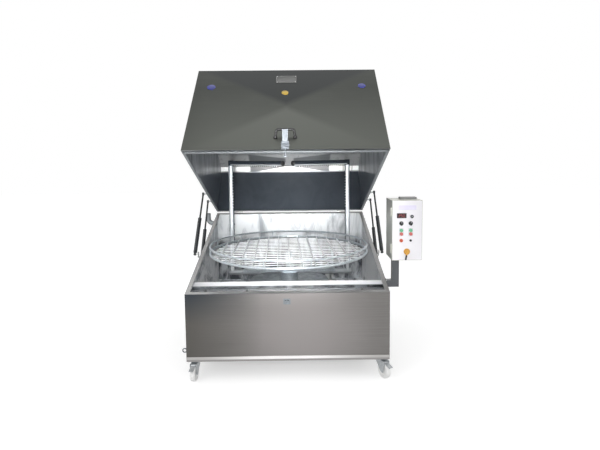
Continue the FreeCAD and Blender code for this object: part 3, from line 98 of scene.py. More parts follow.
# %% The wall's foot, its lean and its length
tank_lo, tank_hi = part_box("tank_shell")
skirt_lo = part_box("tank_frame")[0]
lid_lo, lid_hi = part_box("lid_shell")
middle_x = (tank_lo.x + tank_hi.x) / 2
shell = [v.co for v in nodes["lid_shell"].data.vertices]
wall_top = max(shell, key=lambda p: p.z)
lower_part = [p for p in shell if p.z < wall_top.z - 0.4]
wall_foot = min(lower_part, key=lambda p: (round(p.y, 4), p.z))
foot_to_top = Vector((0, wall_top.y - wall_foot.y, wall_top.z - wall_foot.z))
wall_up = foot_to_top.normalized()
wall_out = Vector((0, -wall_up.z, wall_up.y))
wall_length = foot_to_top.length


def on_wall(across, up, out=0.0):
    """A frame on the front wall, in metres from the machine's middle: z out of it, y up along it."""
    origin = Vector((middle_x + across, wall_foot.y, wall_foot.z)) + wall_up * up + wall_out * out
    turn = Matrix((Vector((1, 0, 0)), wall_up, wall_out)).transposed().to_4x4()
    return Matrix.Translation(origin) @ turn


wall_lean = math.degrees(math.atan2(wall_up.y, wall_up.z))
print("front wall", round(wall_length, 4), "leans", round(wall_lean, 2))

# %% [markdown]
# ## Where on a shell a face lies
#
# One folded shell is painted in several tones that stand for reflected light and shade: its outer sheet, its
# washed inside, its folded hems.
# A few nodes can tell how far a point lies along a direction, or how squarely a face looks
# that way, and turn it into a mask from 0 to 1. Masks multiply, so "inside, and facing
# sideways" is two of them.

# %% Masks from place and direction
def along(tree, source, direction, start, full):
    """0 before start, 1 past full, measured along a direction of a place or a normal."""
    reach = add(tree, "ShaderNodeVectorMath", {0: source, 1: tuple(direction)}, operation="DOT_PRODUCT")
    return add(tree, "ShaderNodeMapRange", {"Value": reach.outputs["Value"], "From Min": start,
                                            "From Max": full}).outputs["Result"]


def aside(tree, normal):
    """How squarely a face looks to the left or the right, from 0 to 1."""
    turn = add(tree, "ShaderNodeSeparateXYZ", {0: normal}).outputs["X"]
    return add(tree, "ShaderNodeMath", {0: turn}, operation="ABSOLUTE").outputs[0]


def inside_of(tree, place, normal, middle):
    """1 on faces that look towards the shell's middle."""
    away = add(tree, "ShaderNodeVectorMath", {0: place, 1: tuple(middle)}, operation="SUBTRACT").outputs[0]
    facing = add(tree, "ShaderNodeVectorMath", {0: away, 1: normal}, operation="DOT_PRODUCT").outputs["Value"]
    return add(tree, "ShaderNodeMath", {0: facing, 1: 0.0}, operation="LESS_THAN").outputs[0]


def near(tree, place, centre, inner, outer):
    """1 within inner metres of a point, fading to 0 at outer."""
    far = add(tree, "ShaderNodeVectorMath", {0: place, 1: tuple(centre)}, operation="DISTANCE")
    return add(tree, "ShaderNodeMapRange", {"Value": far.outputs["Value"], "From Min": inner,
                                            "From Max": outer, "To Min": 1.0, "To Max": 0.0},
               interpolation_type="SMOOTHSTEP").outputs["Result"]


def times(tree, *masks):
    """Masks multiplied into one."""
    result = masks[0]
    for mask in masks[1:]:
        result = add(tree, "ShaderNodeMath", {0: result, 1: mask}, operation="MULTIPLY").outputs[0]
    return result


def lay_over(tree, below, mask, top):
    """Lay one colour over another through a mask; a hex value stands for itself."""
    top = paint(top) if isinstance(top, str) else top
    return add(tree, "ShaderNodeMix", {0: mask, 6: below, 7: top}, data_type="RGBA").outputs[2]


# %% [markdown]
# ## Brushed stainless steel
#
# Rolling and brushing leave fine lines along the sheet, a few tenths of a millimetre apart.
# From here they only show as a faint silky streak, so they are drawn some 4 mm apart and very
# weak. A faint cloudiness stands for handling and cleaning marks. Steel is a metal, so the
# tone written here is the tone of its reflection. A worn, washed sheet also scatters a little
# light, which a metallic value of just under one stands for.

# %% Brushed steel
def streaks(tree, place, grain, across_mm):
    """Long thin noise: across_mm from line to line, and 80 times as long along the grain."""
    fine = 1 / (across_mm * MM)
    scale = [fine, fine, fine]
    scale["xyz".index(grain)] = fine / 80
    laid = add(tree, "ShaderNodeMapping", {"Vector": place, "Scale": scale})
    return add(tree, "ShaderNodeTexNoise", {"Vector": laid.outputs["Vector"], "Scale": 1.0, "Detail": 3.0,
                                            "Roughness": 0.55}).outputs["Fac"]


def brushed_steel(name, tones, grain="x", across_mm=4, rough=(0.28, 0.36), metallic=1.0, overlays=None):
    """Stainless sheet between two tones; overlays lay zones over it and say where it is duller."""
    material, tree, shader, place, normal = blank_material(name)
    line = streaks(tree, place, grain, across_mm)
    cloud = add(tree, "ShaderNodeTexNoise", {"Vector": place, "Scale": 2.6, "Detail": 3.0}).outputs["Fac"]
    blend = add(tree, "ShaderNodeMath", {0: line, 1: cloud, 2: 0.12}, operation="MULTIPLY_ADD")
    share = add(tree, "ShaderNodeMapRange", {"Value": blend.outputs[0], "From Min": 0.22,
                                             "From Max": 0.56}).outputs["Result"]
    colour = lay_over(tree, paint(tones[0]), share, tones[1])
    shader.inputs["Metallic"].default_value = metallic
    if overlays:
        colour, duller = overlays(tree, place, normal, colour, share)
        if duller is not None:
            metal = add(tree, "ShaderNodeMapRange", {"Value": duller, "To Min": metallic, "To Max": 0.12})
            tree.links.new(metal.outputs["Result"], shader.inputs["Metallic"])
    tree.links.new(colour, shader.inputs["Base Color"])
    shine = add(tree, "ShaderNodeMapRange", {"Value": line, "To Min": rough[0], "To Max": rough[1]})
    tree.links.new(shine.outputs["Result"], shader.inputs["Roughness"])
    dent = add(tree, "ShaderNodeBump", {"Height": line, "Strength": 0.04, "Distance": 0.0004})
    tree.links.new(dent.outputs["Normal"], shader.inputs["Normal"])
    return material


# %% [markdown]
# ## The slanting rim and the open hood
#
# The tank's rim rises to the rear, and the hood has turned open about its hinge. Its hems lay
# on that slope while it was shut, so they now face along the rim's own direction, turned by the
# lid's angle. All of this is read from the frame.

# %% Rim, hems and floor
hinge_pivot = Vector(joints["lid_hinge"]["pos_m"])
lid_angle = math.radians(joints["lid_hinge"]["range_deg"][1])
front_rim = max(v.co.z for v in nodes["tank_shell"].data.vertices if v.co.y < tank_lo.y + 1 * MM)
rim_slope = math.atan2(tank_hi.z - front_rim, tank_hi.y - tank_lo.y)
rim_up = Vector((0, -math.sin(rim_slope), math.cos(rim_slope)))
open_turn = (Matrix.Translation(hinge_pivot) @ Matrix.Rotation(-lid_angle, 4, "X")
             @ Matrix.Translation(-hinge_pivot))
hem_down = -(open_turn.to_3x3() @ rim_up)
sheet = 2 * MM
tank_floor = tank_lo.z + sheet
print("rim slope", round(math.degrees(rim_slope), 2), "floor at", round(tank_floor, 3))

# %% [markdown]
# ## Tones of the tank's sheets
#
# The front sheet carries a painted reflection: a darker corner of the workshop at its left, a window at its
# middle.
# The washed inside mirrors itself again and again, which is painted as pale patches taller than wide.
# The folded rim and the band along the foot carry painted highlights.

# %% Zones of the tank
def painted_reflection_patches(tree, place, scale, low, high, start=0.42, full=0.60):
    """Ragged patches between two tones: a painted reflection, as a wavy polished sheet mirrors its
    surroundings.
    """
    laid = add(tree, "ShaderNodeMapping", {"Vector": place, "Scale": scale})
    patch = add(tree, "ShaderNodeTexNoise", {"Vector": laid.outputs["Vector"], "Scale": 1.0, "Detail": 5.0,
                                             "Roughness": 0.62, "Distortion": 1.2}).outputs["Fac"]
    share = add(tree, "ShaderNodeMapRange", {"Value": patch, "From Min": start, "From Max": full})
    return lay_over(tree, paint(low), share.outputs["Result"], high)


def front_tones(tree, place, normal, colour):
    """The front sheet's painted reflection: a pale window at its middle, darker and cooler to the upper left.
    """
    facing = along(tree, normal, (0, -1, 0), 0.7, 0.9)
    # painted reflection of a window, pale at the front's middle; a darker painted reflection to the left and
    # upper left
    painted_reflection_middle = (middle_x + 0.08, tank_lo.y, skirt_lo.z + 0.19)
    glow = near(tree, place, painted_reflection_middle, 0.05, 0.62)
    colour = lay_over(tree, colour, times(tree, facing, glow), "#918d8c")
    left = along(tree, place, (-1, 0, 0), -middle_x + 0.16, -middle_x + 0.62)
    colour = lay_over(tree, colour, times(tree, facing, left), "#5b5956")
    top = along(tree, place, (0, 0, 1), skirt_lo.z + 0.24, skirt_lo.z + 0.44)
    return lay_over(tree, colour, times(tree, facing, top, left), "#3d4248")


def tank_zones(tree, place, normal, colour, share):
    """Painted reflections and shade: the front's tones outside; pale patches inside, other ones below the
    basket and on the floor; a painted highlight on the right wall.
    """
    colour = front_tones(tree, place, normal, colour)
    inner = inside_of(tree, place, normal, (tank_lo + tank_hi) / 2)
    # painted reflections on the inside walls; below the basket, darker painted shade and reflection on the
    # front and back walls, paler painted reflections on the sides
    walls = painted_reflection_patches(tree, place, (7, 7, 2.6), "#9a9ea3", "#e6e9eb", 0.34, 0.54)
    painted_shade_and_reflection = painted_reflection_patches(tree, place, (9, 9, 4), "#34383d", "#b9bdc1", 0.44, 0.64)
    cheeks = painted_reflection_patches(tree, place, (9, 5, 7), "#85898e", "#ffffff", 0.34, 0.54)
    under_basket = along(tree, place, (0, 0, -1), -tank_floor - 0.43, -tank_floor - 0.33)
    walls = lay_over(tree, walls, under_basket, lay_over(tree, painted_shade_and_reflection, aside(tree, normal), cheeks))
    colour = lay_over(tree, colour, inner, walls)
    # painted highlight on the right wall inside
    painted_highlight_spot = (tank_hi.x, tank_lo.y + 0.75, tank_floor + 0.3)
    lit = near(tree, place, painted_highlight_spot, 0.15, 0.5)
    colour = lay_over(tree, colour, times(tree, inner, lit), "#ffffff")
    # painted reflection patches on the tank's floor
    on_floor = along(tree, place, (0, 0, -1), -tank_floor - 6 * MM, -tank_floor - 2 * MM)
    ground = painted_reflection_patches(tree, place, (9, 5, 9), "#5f6368", "#dfe2e5", 0.42, 0.62)
    return lay_over(tree, colour, times(tree, inner, on_floor), ground), inner


def frame_zones(tree, place, normal, colour, share):
    """The skirt's front goes on from the sheet above it; the rim and the foot band are paler: painted
    highlights.
    """
    colour = front_tones(tree, place, normal, colour)
    # painted highlight along the rim
    high = along(tree, place, (0, 0, 1), front_rim - 12 * MM, front_rim - 8 * MM)
    colour = lay_over(tree, colour, high, lay_over(tree, paint("#8b8a89"), share, "#b5b5b5"))
    # painted highlight on the foot band, brightest at its middle, with painted shade on its lowest 12 mm
    proud = along(tree, place, (0, -1, 0), -tank_lo.y + 0.5 * MM, -tank_lo.y + 1.5 * MM)
    painted_highlight_middle = (middle_x, tank_lo.y, skirt_lo.z + 0.02)
    bright = near(tree, place, painted_highlight_middle, 0.1, 0.6)
    upper = lay_over(tree, paint("#b1afad"), bright, "#f2f0f0")
    step = along(tree, place, (0, 0, 1), skirt_lo.z + 12 * MM, skirt_lo.z + 15 * MM)
    colour = lay_over(tree, colour, proud, lay_over(tree, paint("#939190"), step, upper))
    return colour, times(tree, high, 0.4)


# %% [markdown]
# ## Tones of the hood's sheets
#
# The front wall has a shallow pyramid pressed into it against drumming, so four flat
# triangles meet at its middle; each would mirror another part of the room, so each carries its own painted
# reflection.
# Inside, the lower half of the hood carries a painted reflection of the dark floor of the workshop and reads
# as slate;
# above that a painted reflection of the windows, with the dark spray arms between them.

# %% Zones of the hood
def span(tree, place):
    """Distance from the machine's middle plane, in metres."""
    across = add(tree, "ShaderNodeSeparateXYZ", {0: place}).outputs["X"]
    across = add(tree, "ShaderNodeMath", {0: across, 1: -middle_x}, operation="ADD").outputs[0]
    return add(tree, "ShaderNodeMath", {0: across}, operation="ABSOLUTE").outputs[0]


def cross_tones(tree, place, sides, top, foot):
    """Painted reflections on the pressed cross: sides, and an upper and a lower triangle, softly parted."""
    level = wall_foot.y * wall_up.y + wall_foot.z * wall_up.z
    up = along(tree, place, wall_up, level, level + wall_length)
    low = add(tree, "ShaderNodeMapRange", {"Value": up, "From Min": 0.75, "From Max": 0.0}).outputs["Result"]
    sides = lay_over(tree, sides, low, foot)
    up = add(tree, "ShaderNodeMath", {0: up, 1: 2.0, 2: -1.0}, operation="MULTIPLY_ADD").outputs[0]
    tall = add(tree, "ShaderNodeMath", {0: up}, operation="ABSOLUTE").outputs[0]
    wide = add(tree, "ShaderNodeMath", {0: span(tree, place), 1: (lid_hi.x - lid_lo.x) / 2},
               operation="DIVIDE").outputs[0]
    past = add(tree, "ShaderNodeMath", {0: tall, 1: wide}, operation="SUBTRACT").outputs[0]
    edge = add(tree, "ShaderNodeMapRange", {"Value": past, "From Min": -0.03, "From Max": 0.12})
    upper = add(tree, "ShaderNodeMath", {0: up, 1: 0.0}, operation="GREATER_THAN").outputs[0]
    return lay_over(tree, sides, edge.outputs["Result"], lay_over(tree, paint(foot), upper, top))


def painted_gap_reflection(tree, place, out, within):
    """Painted reflection of the dark gap below the arms: a wedge on each side, narrower outwards."""
    height = along(tree, place, (0, 0, 1), wall_foot.z - 0.20, wall_foot.z - 0.14)
    lean = add(tree, "ShaderNodeMapRange", {"Value": out, "From Min": 0.03, "From Max": 0.37, "To Min": 0.95,
                                            "To Max": 0.10}).outputs["Result"]
    gap = add(tree, "ShaderNodeMath", {0: height, 1: lean}, operation="SUBTRACT").outputs[0]
    wedge = add(tree, "ShaderNodeMapRange", {"Value": gap, "From Min": -0.06, "From Max": 0.06})
    under = along(tree, place, (0, 0, -1), -wall_foot.z + 0.125, -wall_foot.z + 0.135)
    return times(tree, wedge.outputs["Result"], under, within)


def painted_arm_reflection(tree, place, out, within):
    """Painted reflection of the spray arms in the hood: a dark bar on each side that climbs outwards."""
    climb = add(tree, "ShaderNodeMath", {0: out, 1: 0.11}, operation="MULTIPLY").outputs[0]
    level = add(tree, "ShaderNodeSeparateXYZ", {0: place}).outputs["Z"]
    level = add(tree, "ShaderNodeMath", {0: level, 1: climb}, operation="SUBTRACT").outputs[0]
    below = add(tree, "ShaderNodeMapRange", {"Value": level, "From Min": wall_foot.z - 0.070,
                                             "From Max": wall_foot.z - 0.062, "To Min": 1.0,
                                             "To Max": 0.0}).outputs["Result"]
    above = along(tree, place, (0, 0, 1), wall_foot.z - 0.103, wall_foot.z - 0.098)
    apart = add(tree, "ShaderNodeMapRange", {"Value": out, "From Min": 0.03, "From Max": 0.045})
    return times(tree, below, above, within, apart.outputs["Result"])


def painted_window_reflection(tree, place, normal):
    """Painted reflection of bright panes inside the hood, with the dark spray arms and their mirror image
    painted between.
    """
    out = span(tree, place)
    panes = painted_reflection_patches(tree, place, (15, 15, 1.5), "#c4c3c1", "#ffffff", 0.34, 0.44)
    # mid-grey painted reflection patches at the top, near the front wall's foot
    eaves = along(tree, place, (0, 0, 1), wall_foot.z - 0.035, wall_foot.z - 0.015)
    panes = lay_over(tree, panes, eaves, painted_reflection_patches(tree, place, (30, 9, 9), "#6f7275", "#c9ccce"))
    within = add(tree, "ShaderNodeMapRange", {"Value": out, "From Min": 0.37, "From Max": 0.385,
                                              "To Min": 1.0, "To Max": 0.0}).outputs["Result"]
    # painted reflections of the spray arms and of the dark gap below them
    for image in (painted_arm_reflection, painted_gap_reflection):
        panes = lay_over(tree, panes, image(tree, place, out, within), "#14181c")
    # darker painted reflection patches on the side walls
    cheek = painted_reflection_patches(tree, place, (15, 15, 1.5), "#666a6f", "#b3b7bb", 0.38, 0.60)
    left = along(tree, normal, (1, 0, 0), 0.7, 0.9)
    right = along(tree, normal, (-1, 0, 0), 0.7, 0.9)
    return lay_over(tree, lay_over(tree, panes, left, cheek), right, cheek)


def hood_zones(tree, place, normal, colour, share):
    """Painted reflections: the pressed cross outside; the dark floor below and the windows above inside; pale
    hems, a painted highlight.
    """
    # painted reflection tones on the front wall's pressed cross
    facing = along(tree, normal, wall_out, 0.90, 0.97)
    sides = lay_over(tree, paint("#323431"), share, "#3b3d3a")
    crossed = cross_tones(tree, place, sides, "#2d2f2f", "#51534f")
    colour = lay_over(tree, colour, facing, crossed)
    inner = inside_of(tree, place, normal, (lid_lo + lid_hi) / 2)
    # painted reflection of the dark floor, paler on the side walls
    painted_floor_reflection = painted_reflection_patches(tree, place, (5, 5, 1.2), "#3b4148", "#474d55", 0.30, 0.70)
    cheek = aside(tree, normal)
    painted_floor_reflection = lay_over(tree, painted_floor_reflection, times(tree, cheek, cheek), "#666d75")
    high = along(tree, place, (0, 0, 1), wall_foot.z - 0.19, wall_foot.z - 0.175)
    colour = lay_over(tree, colour, inner, lay_over(tree, painted_floor_reflection, high, painted_window_reflection(tree, place, normal)))
    # painted highlight on the hems
    hem = along(tree, normal, hem_down, 0.90, 0.98)
    return lay_over(tree, colour, hem, lay_over(tree, paint("#5f6264"), share, "#85888a")), inner


# %% [markdown]
# ## Tones of the smaller steel pieces
#
# Polished pipe is painted dark along its edges, a painted reflection. The shelf, the round splash plate and
# the top of the control box lie open to the dark hood above them, and carry its painted reflection.

# %% Zones of pipes, shelf, splash plate and control box
def pipe_zones(tree, place, normal, colour, share):
    """Polished pipe with painted reflections: the uprights are dark along both edges, the arms carry a dark
    reflection of the floor.
    """
    edge = add(tree, "ShaderNodeMapRange", {"Value": aside(tree, normal), "From Min": 0.62, "From Max": 0.88})
    colour = lay_over(tree, colour, edge.outputs["Result"], "#59626b")
    arm_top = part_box("spray_pipe_left")[1].z
    arm = along(tree, place, (0, 0, 1), arm_top - 0.046, arm_top - 0.043)
    under = along(tree, normal, (0, 0, 1), -0.75, -0.45)
    colour = lay_over(tree, colour, times(tree, arm, under), "#3c434b")
    return colour, None


def shelf_zones(tree, place, normal, colour, share):
    """Painted reflections: the dark hood on the flat in ragged patches, and the flat on the upstand's foot.
    """
    flat = along(tree, normal, (0, 0, 1), 0.6, 0.8)
    foot = along(tree, place, (0, 0, -1), -front_rim + 2 * MM, -front_rim + 8 * MM)
    dark = painted_reflection_patches(tree, place, (6, 16, 6), "#2c3034", "#7b8084", 0.42, 0.66)
    return lay_over(tree, lay_over(tree, colour, foot, dark), flat, dark), None


def pedestal_zones(tree, place, normal, colour, share):
    """The round splash plate carries a painted reflection of the basket above it; the drive's tube stays
    bright.
    """
    flat = along(tree, normal, (0, 0, 1), 0.25, 0.45)
    return lay_over(tree, colour, flat, painted_reflection_patches(tree, place, (8, 8, 8), "#4d5458", "#7d8488")), None


door_lo, door_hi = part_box("control_door")


def box_zones(tree, place, normal, colour, share):
    """The box's top carries a painted reflection of the dark hood above it."""
    top = along(tree, place, (0, 0, 1), door_hi.z, door_hi.z + 1 * MM)
    return lay_over(tree, colour, top, "#8c8d8d"), None


# %% [markdown]
# All the steels come out of the one function and differ in tone, brushing and metallic value.
# The big sheets' dark tones are a painted reflection of a dim workshop. Metallic is low on the small polished
# pieces:
# the bright workshop that they would mirror isn't in this scene, so their own tone carries a painted
# reflection of it.

# %% The steels
tank_steel = brushed_steel("brushed_stainless_tank", ("#6a6866", "#7e7c7a"), overlays=tank_zones,
                           metallic=0.95)
frame_steel = brushed_steel("brushed_stainless_frame", ("#6a6866", "#7e7c7a"), overlays=frame_zones,
                            metallic=0.95)
lid_steel = brushed_steel("brushed_stainless_hood", ("#585957", "#6a6b69"), overlays=hood_zones,
                          metallic=0.95)
enclosure_steel = brushed_steel("brushed_stainless_enclosure", ("#a9aaa2", "#deded6"), grain="z", across_mm=9,
                                overlays=box_zones, metallic=0.55)
shelf_steel = brushed_steel("polished_stainless_shelf", ("#dcdde0", "#f4f4f5"), rough=(0.2, 0.3),
                            overlays=shelf_zones, metallic=0.05)
fitting_steel = brushed_steel("brushed_stainless_fittings", ("#c4c5c4", "#dedfde"), across_mm=2, metallic=0.9)
pipe_steel = brushed_steel("polished_stainless_pipe", ("#cfd4d9", "#f1f4f6"), grain="z", across_mm=3,
                           rough=(0.16, 0.24), overlays=pipe_zones, metallic=0.35)
dull_steel = brushed_steel("dull_stainless_fittings", ("#7c8083", "#989c9f"), across_mm=2, rough=(0.34, 0.44),
                           metallic=0.5)
plate_steel = brushed_steel("stainless_pedestal_painted_reflection", ("#c3c8cc", "#e6e9eb"), across_mm=3,
                            overlays=pedestal_zones, metallic=0.4)
feed_steel = brushed_steel("washed_stainless_feed", ("#8d9296", "#b4b8bc"), across_mm=3, metallic=0.2)
print(len(bpy.data.materials), "materials so far")

# %% [markdown]
# ## Zinc plating
#
# The basket, its carrier, the castor forks and the latch are mild steel with bright zinc:
# bluish white, fairly glossy, with a fine mottle where the passivation dried unevenly. That is
# drawn 12 mm across, coarser than it is, so that it shows. The grille's thin wires catch light
# from all round, and that is painted into their tone as a highlight: nearly white.

# %% Zinc
def zinc_plate(name, tones, rough=(0.24, 0.40), metallic=0.8):
    """Zinc between two tones, mottled 12 mm across; the mottle's soft noise varies its gloss."""
    material, tree, shader, place, normal = blank_material(name)
    grains = add(tree, "ShaderNodeTexVoronoi", {"Vector": place, "Scale": 1 / (12 * MM)})
    soft = add(tree, "ShaderNodeTexNoise", {"Vector": place, "Scale": 40.0, "Detail": 3.0}).outputs["Fac"]
    share = times(tree, grains.outputs["Distance"], soft)
    colour = lay_over(tree, paint(tones[0]), share, tones[1])
    tree.links.new(colour, shader.inputs["Base Color"])
    shine = add(tree, "ShaderNodeMapRange", {"Value": soft, "To Min": rough[0], "To Max": rough[1]})
    tree.links.new(shine.outputs["Result"], shader.inputs["Roughness"])
    shader.inputs["Metallic"].default_value = metallic
    return material


basket_zinc = zinc_plate("bright_zinc_basket", ("#a9b1b7", "#dde2e6"), metallic=0.75)
# painted highlight: the grille's wires are nearly white for the light they catch
grille_zinc = zinc_plate("bright_zinc_grille", ("#f2f5f7", "#ffffff"), metallic=0.0)
fork_zinc = zinc_plate("bright_zinc_castors", ("#a9adb0", "#d6d9db"))
latch_zinc = zinc_plate("bright_zinc_latch", ("#6c7278", "#888e94"), rough=(0.5, 0.6), metallic=0.15)

# %% [markdown]
# ## Paint, plastics and rubber
#
# Struts are coated satin black, the box's arm hammered grey, gearmotor and pump grey enamel.
# The box's door is faced with a blank white foil. Knobs, selectors and the hood's handle are
# moulded black polyamide, buttons glossy coloured plastic, the wheels light grey polyamide.
# One function covers them: two close tones, a roughness, and a skin of bumps 1 or 2 mm across.

# %% Coated and moulded finishes
def coated(name, tones, rough, bump_mm=2.0, bump=0.05, clear=0.0, glow=None, overlays=None):
    """Paint or plastic between two tones, under a clear coat, or lit, where that is asked for."""
    material, tree, shader, place, normal = blank_material(name)
    skin = add(tree, "ShaderNodeTexNoise", {"Vector": place, "Scale": 1 / (bump_mm * MM), "Detail": 2.0})
    wear = add(tree, "ShaderNodeTexNoise", {"Vector": place, "Scale": 9.0, "Detail": 4.0}).outputs["Fac"]
    colour = lay_over(tree, paint(tones[0]), wear, tones[1])
    if overlays:
        colour = overlays(tree, place, normal, colour)
    tree.links.new(colour, shader.inputs["Base Color"])
    shine = add(tree, "ShaderNodeMapRange", {"Value": wear, "To Min": rough - 0.06, "To Max": rough + 0.06})
    tree.links.new(shine.outputs["Result"], shader.inputs["Roughness"])
    dent = add(tree, "ShaderNodeBump", {"Height": skin.outputs["Fac"], "Strength": bump, "Distance": 0.0005})
    tree.links.new(dent.outputs["Normal"], shader.inputs["Normal"])
    shader.inputs["Coat Weight"].default_value = clear
    if glow:
        shader.inputs["Emission Color"].default_value = paint(glow)
        shader.inputs["Emission Strength"].default_value = 1.0
    return material


# %% [markdown]
# The fittings on the door are one rigid piece: display window, lamp, reset button, ring, switch
# plate and the collars round the push buttons. Each takes its colour from how near a point lies
# to the fitting's place, and what isn't named stays black.

# %% Colours of the door's fittings
door_width, door_height = 200 * MM, 400 * MM
door_x = door_hi.x - door_width
fitting_spots = (
    (60, 134, 20, "#c4512f"),  # lamp
    (60, 190, 42, "#d3d6da"),  # left collar
    (130, 190, 42, "#d3d6da"),  # right collar
    (98, 59, 44, "#cf9a3c"),  # switch plate
    (50, 299, 44, "#2c1418"),  # display window
    (130, 293, 24, "#3c3e42"),  # ring
    (130, 293, 6.5, "#ececef"),  # the ring's middle
)


def door_spot(tree, place, across, up, radius):
    """1 around one spot of the door, in millimetres from its lower left corner."""
    spot = (door_x + across * MM, door_lo.y, door_lo.z + up * MM)
    return near(tree, place, spot, (radius - 0.5) * MM, (radius + 0.5) * MM)


def fitting_colours(tree, place, normal, colour):
    """Each fitting keeps the colour of its own moulding."""
    for across, up, radius, tone in fitting_spots:
        colour = lay_over(tree, colour, door_spot(tree, place, across, up, radius), tone)
    return colour


def switch_colours(tree, place, normal, colour):
    """The main switch's round head is amber, its long lever black."""
    return lay_over(tree, colour, door_spot(tree, place, 98, 59, 27), "#d8a244")


# %% The coated and moulded finishes
strut_black = coated("satin_black_paint", ("#1c1e21", "#2b2e32"), 0.38, clear=0.3)
arm_grey = coated("grey_hammered_arm", ("#3c3f44", "#4d5055"), 0.38, clear=0.4)
foil_white = coated("white_front_foil", ("#eae9ee", "#f2f1f5"), 0.42, bump=0.06)
motor_grey = coated("grey_motor_enamel", ("#5b6268", "#6c7379"), 0.4, clear=0.3)
moulded_black = coated("moulded_black_polyamide", ("#131315", "#202124"), 0.5, bump_mm=1.0)
handle_black = coated("moulded_black_handle", ("#070708", "#0e0e10"), 0.6, bump_mm=1.0)
door_plastic = coated("moulded_door_fittings", ("#131315", "#202124"), 0.4, bump_mm=1.0, clear=0.2,
                      overlays=fitting_colours)
switch_plastic = coated("moulded_main_switch", ("#131315", "#202124"), 0.4, bump_mm=1.0,
                        overlays=switch_colours)
wheel_grey = coated("light_grey_polyamide_wheel", ("#f4f4f2", "#ffffff"), 0.5)
seal_grey = coated("grey_silicone_seal", ("#6f7376", "#84888b"), 0.55)
button_green = coated("green_button_plastic", ("#5fae85", "#7cc49c"), 0.25, clear=0.5)
button_red = coated("red_button_plastic", ("#c4605c", "#d57a74"), 0.25, clear=0.5)
digit_red = coated("red_lit_digits", ("#a0343a", "#b04248"), 0.4, glow="#5c1418")
label_white = coated("blank_white_label", ("#e4e6ea", "#f0f1f4"), 0.35)
plate_grey = coated("blank_grey_plate", ("#3f403f", "#4c4d4c"), 0.4)
label_lilac = coated("blank_lilac_label", ("#ddd9ee", "#e6e3f2"), 0.4)
label_blue = coated("blank_blue_sticker", ("#1b2170", "#272e84"), 0.35)
label_amber = coated("blank_amber_sticker", ("#94791a", "#a68a24"), 0.35)
lever_red = coated("dipped_red_lever", ("#8e2420", "#a5302a"), 0.45)
print(len(bpy.data.materials), "materials")

# %% [markdown]
# ## Finishes on the rigid pieces
#
# Every rigid piece keeps its mesh and takes its finish here. Struts, castors and buttons come
# in families whose names start alike.

# %% Give each rigid piece its finish
finishes = {}
for finish, wearers in (
        (tank_steel, "tank_shell"), (frame_steel, "tank_frame"), (shelf_steel, "front_shelf"),
        (plate_steel, "pedestal"), (lid_steel, "lid_shell"), (feed_steel, "feed_pipe"),
        (pipe_steel, "spray_pipe_left spray_pipe_right"), (dull_steel, "lifting_eye vent_elbow"),
        (fitting_steel, "heater tank_hinges lid_hinges strut_brackets drain_valve"),
        (enclosure_steel, "control_box control_door"), (seal_grey, "lid_seal"),
        (latch_zinc, "latch_keeper latch_base latch_lever latch_hook"), (grille_zinc, "basket_grid"),
        (basket_zinc, "basket_rings basket_carrier"), (motor_grey, "gearmotor pump"),
        (fork_zinc, "pump_bracket caster_plates lid_studs"), (handle_black, "bow_handle"),
        (moulded_black, "shelf_knobs selector_left selector_right"), (arm_grey, "box_arm"),
        (door_plastic, "door_fittings"), (switch_plastic, "main_switch"), (lever_red, "drain_lever")):
    finishes.update(dict.fromkeys(wearers.split(), finish))
families = {"gas_": strut_black, "fork_": fork_zinc, "wheel_": wheel_grey, "pedal_": fork_zinc,
            "green_": button_green, "red_": button_red}
for name, part in nodes.items():
    for start, finish in families.items():
        if name.startswith(start):
            finishes[name] = finish
    part.data.materials.clear()
    part.data.materials.append(finishes[name])
print(len(finishes), "rigid pieces finished")

# %% [markdown]
# ## Making a small fitting by hand
#
# A fitting starts as a primitive in its own little frame, with its base on the ground plane
# and its axis up. Faces are picked by their place, then inset, extruded or tapered in edit
# mode, and the sharp edges are bevelled.

# %% Helpers for picking and shaping
def only(piece):
    """Select one piece and make it the active one."""
    bpy.ops.object.select_all(action="DESELECT")
    piece.select_set(True)
    bpy.context.view_layer.objects.active = piece


def stub(sides, radius, height):
    """A cylinder that stands on the ground plane."""
    bpy.ops.mesh.primitive_cylinder_add(vertices=sides, radius=radius, depth=height,
                                        location=(0, 0, height / 2))
    return bpy.context.object


def pick_faces(piece, test):
    """Leave edit mode on with just the faces that pass the test selected."""
    only(piece)
    bpy.ops.object.mode_set(mode="EDIT")
    bpy.ops.mesh.select_mode(type="FACE")
    bpy.ops.mesh.select_all(action="DESELECT")
    bpy.ops.object.mode_set(mode="OBJECT")
    for face in piece.data.polygons:
        face.select = test(face)
    bpy.ops.object.mode_set(mode="EDIT")


def pick_top(piece):
    pick_faces(piece, lambda face: face.normal.z > 0.9)


def pull(height):
    """Extrude the picked faces straight up, or down where the height is negative."""
    bpy.ops.mesh.extrude_region_move(TRANSFORM_OT_translate={"value": (0, 0, height)})


def taper(share, height):
    """Shrink the picked faces, which lie at this height, towards the axis."""
    bpy.ops.transform.resize(value=(share, share, 1), center_override=(0, 0, height))


def done():
    bpy.ops.object.mode_set(mode="OBJECT")


def round_edges(piece, width):
    """Bevel the piece's sharp edges and shade it smooth between them."""
    only(piece)
    bevel = piece.modifiers.new("bevel", "BEVEL")
    bevel.width, bevel.segments = width, 2
    bevel.limit_method, bevel.angle_limit = "ANGLE", math.radians(40)
    bpy.ops.object.modifier_apply(modifier=bevel.name)
    bpy.ops.object.shade_smooth_by_angle(angle=math.radians(35))


# %% [markdown]
# A finished fitting is laid in its place on the machine, that place is applied to its mesh, and
# it rides on the body that carries it. What repeats is modelled once and copied.

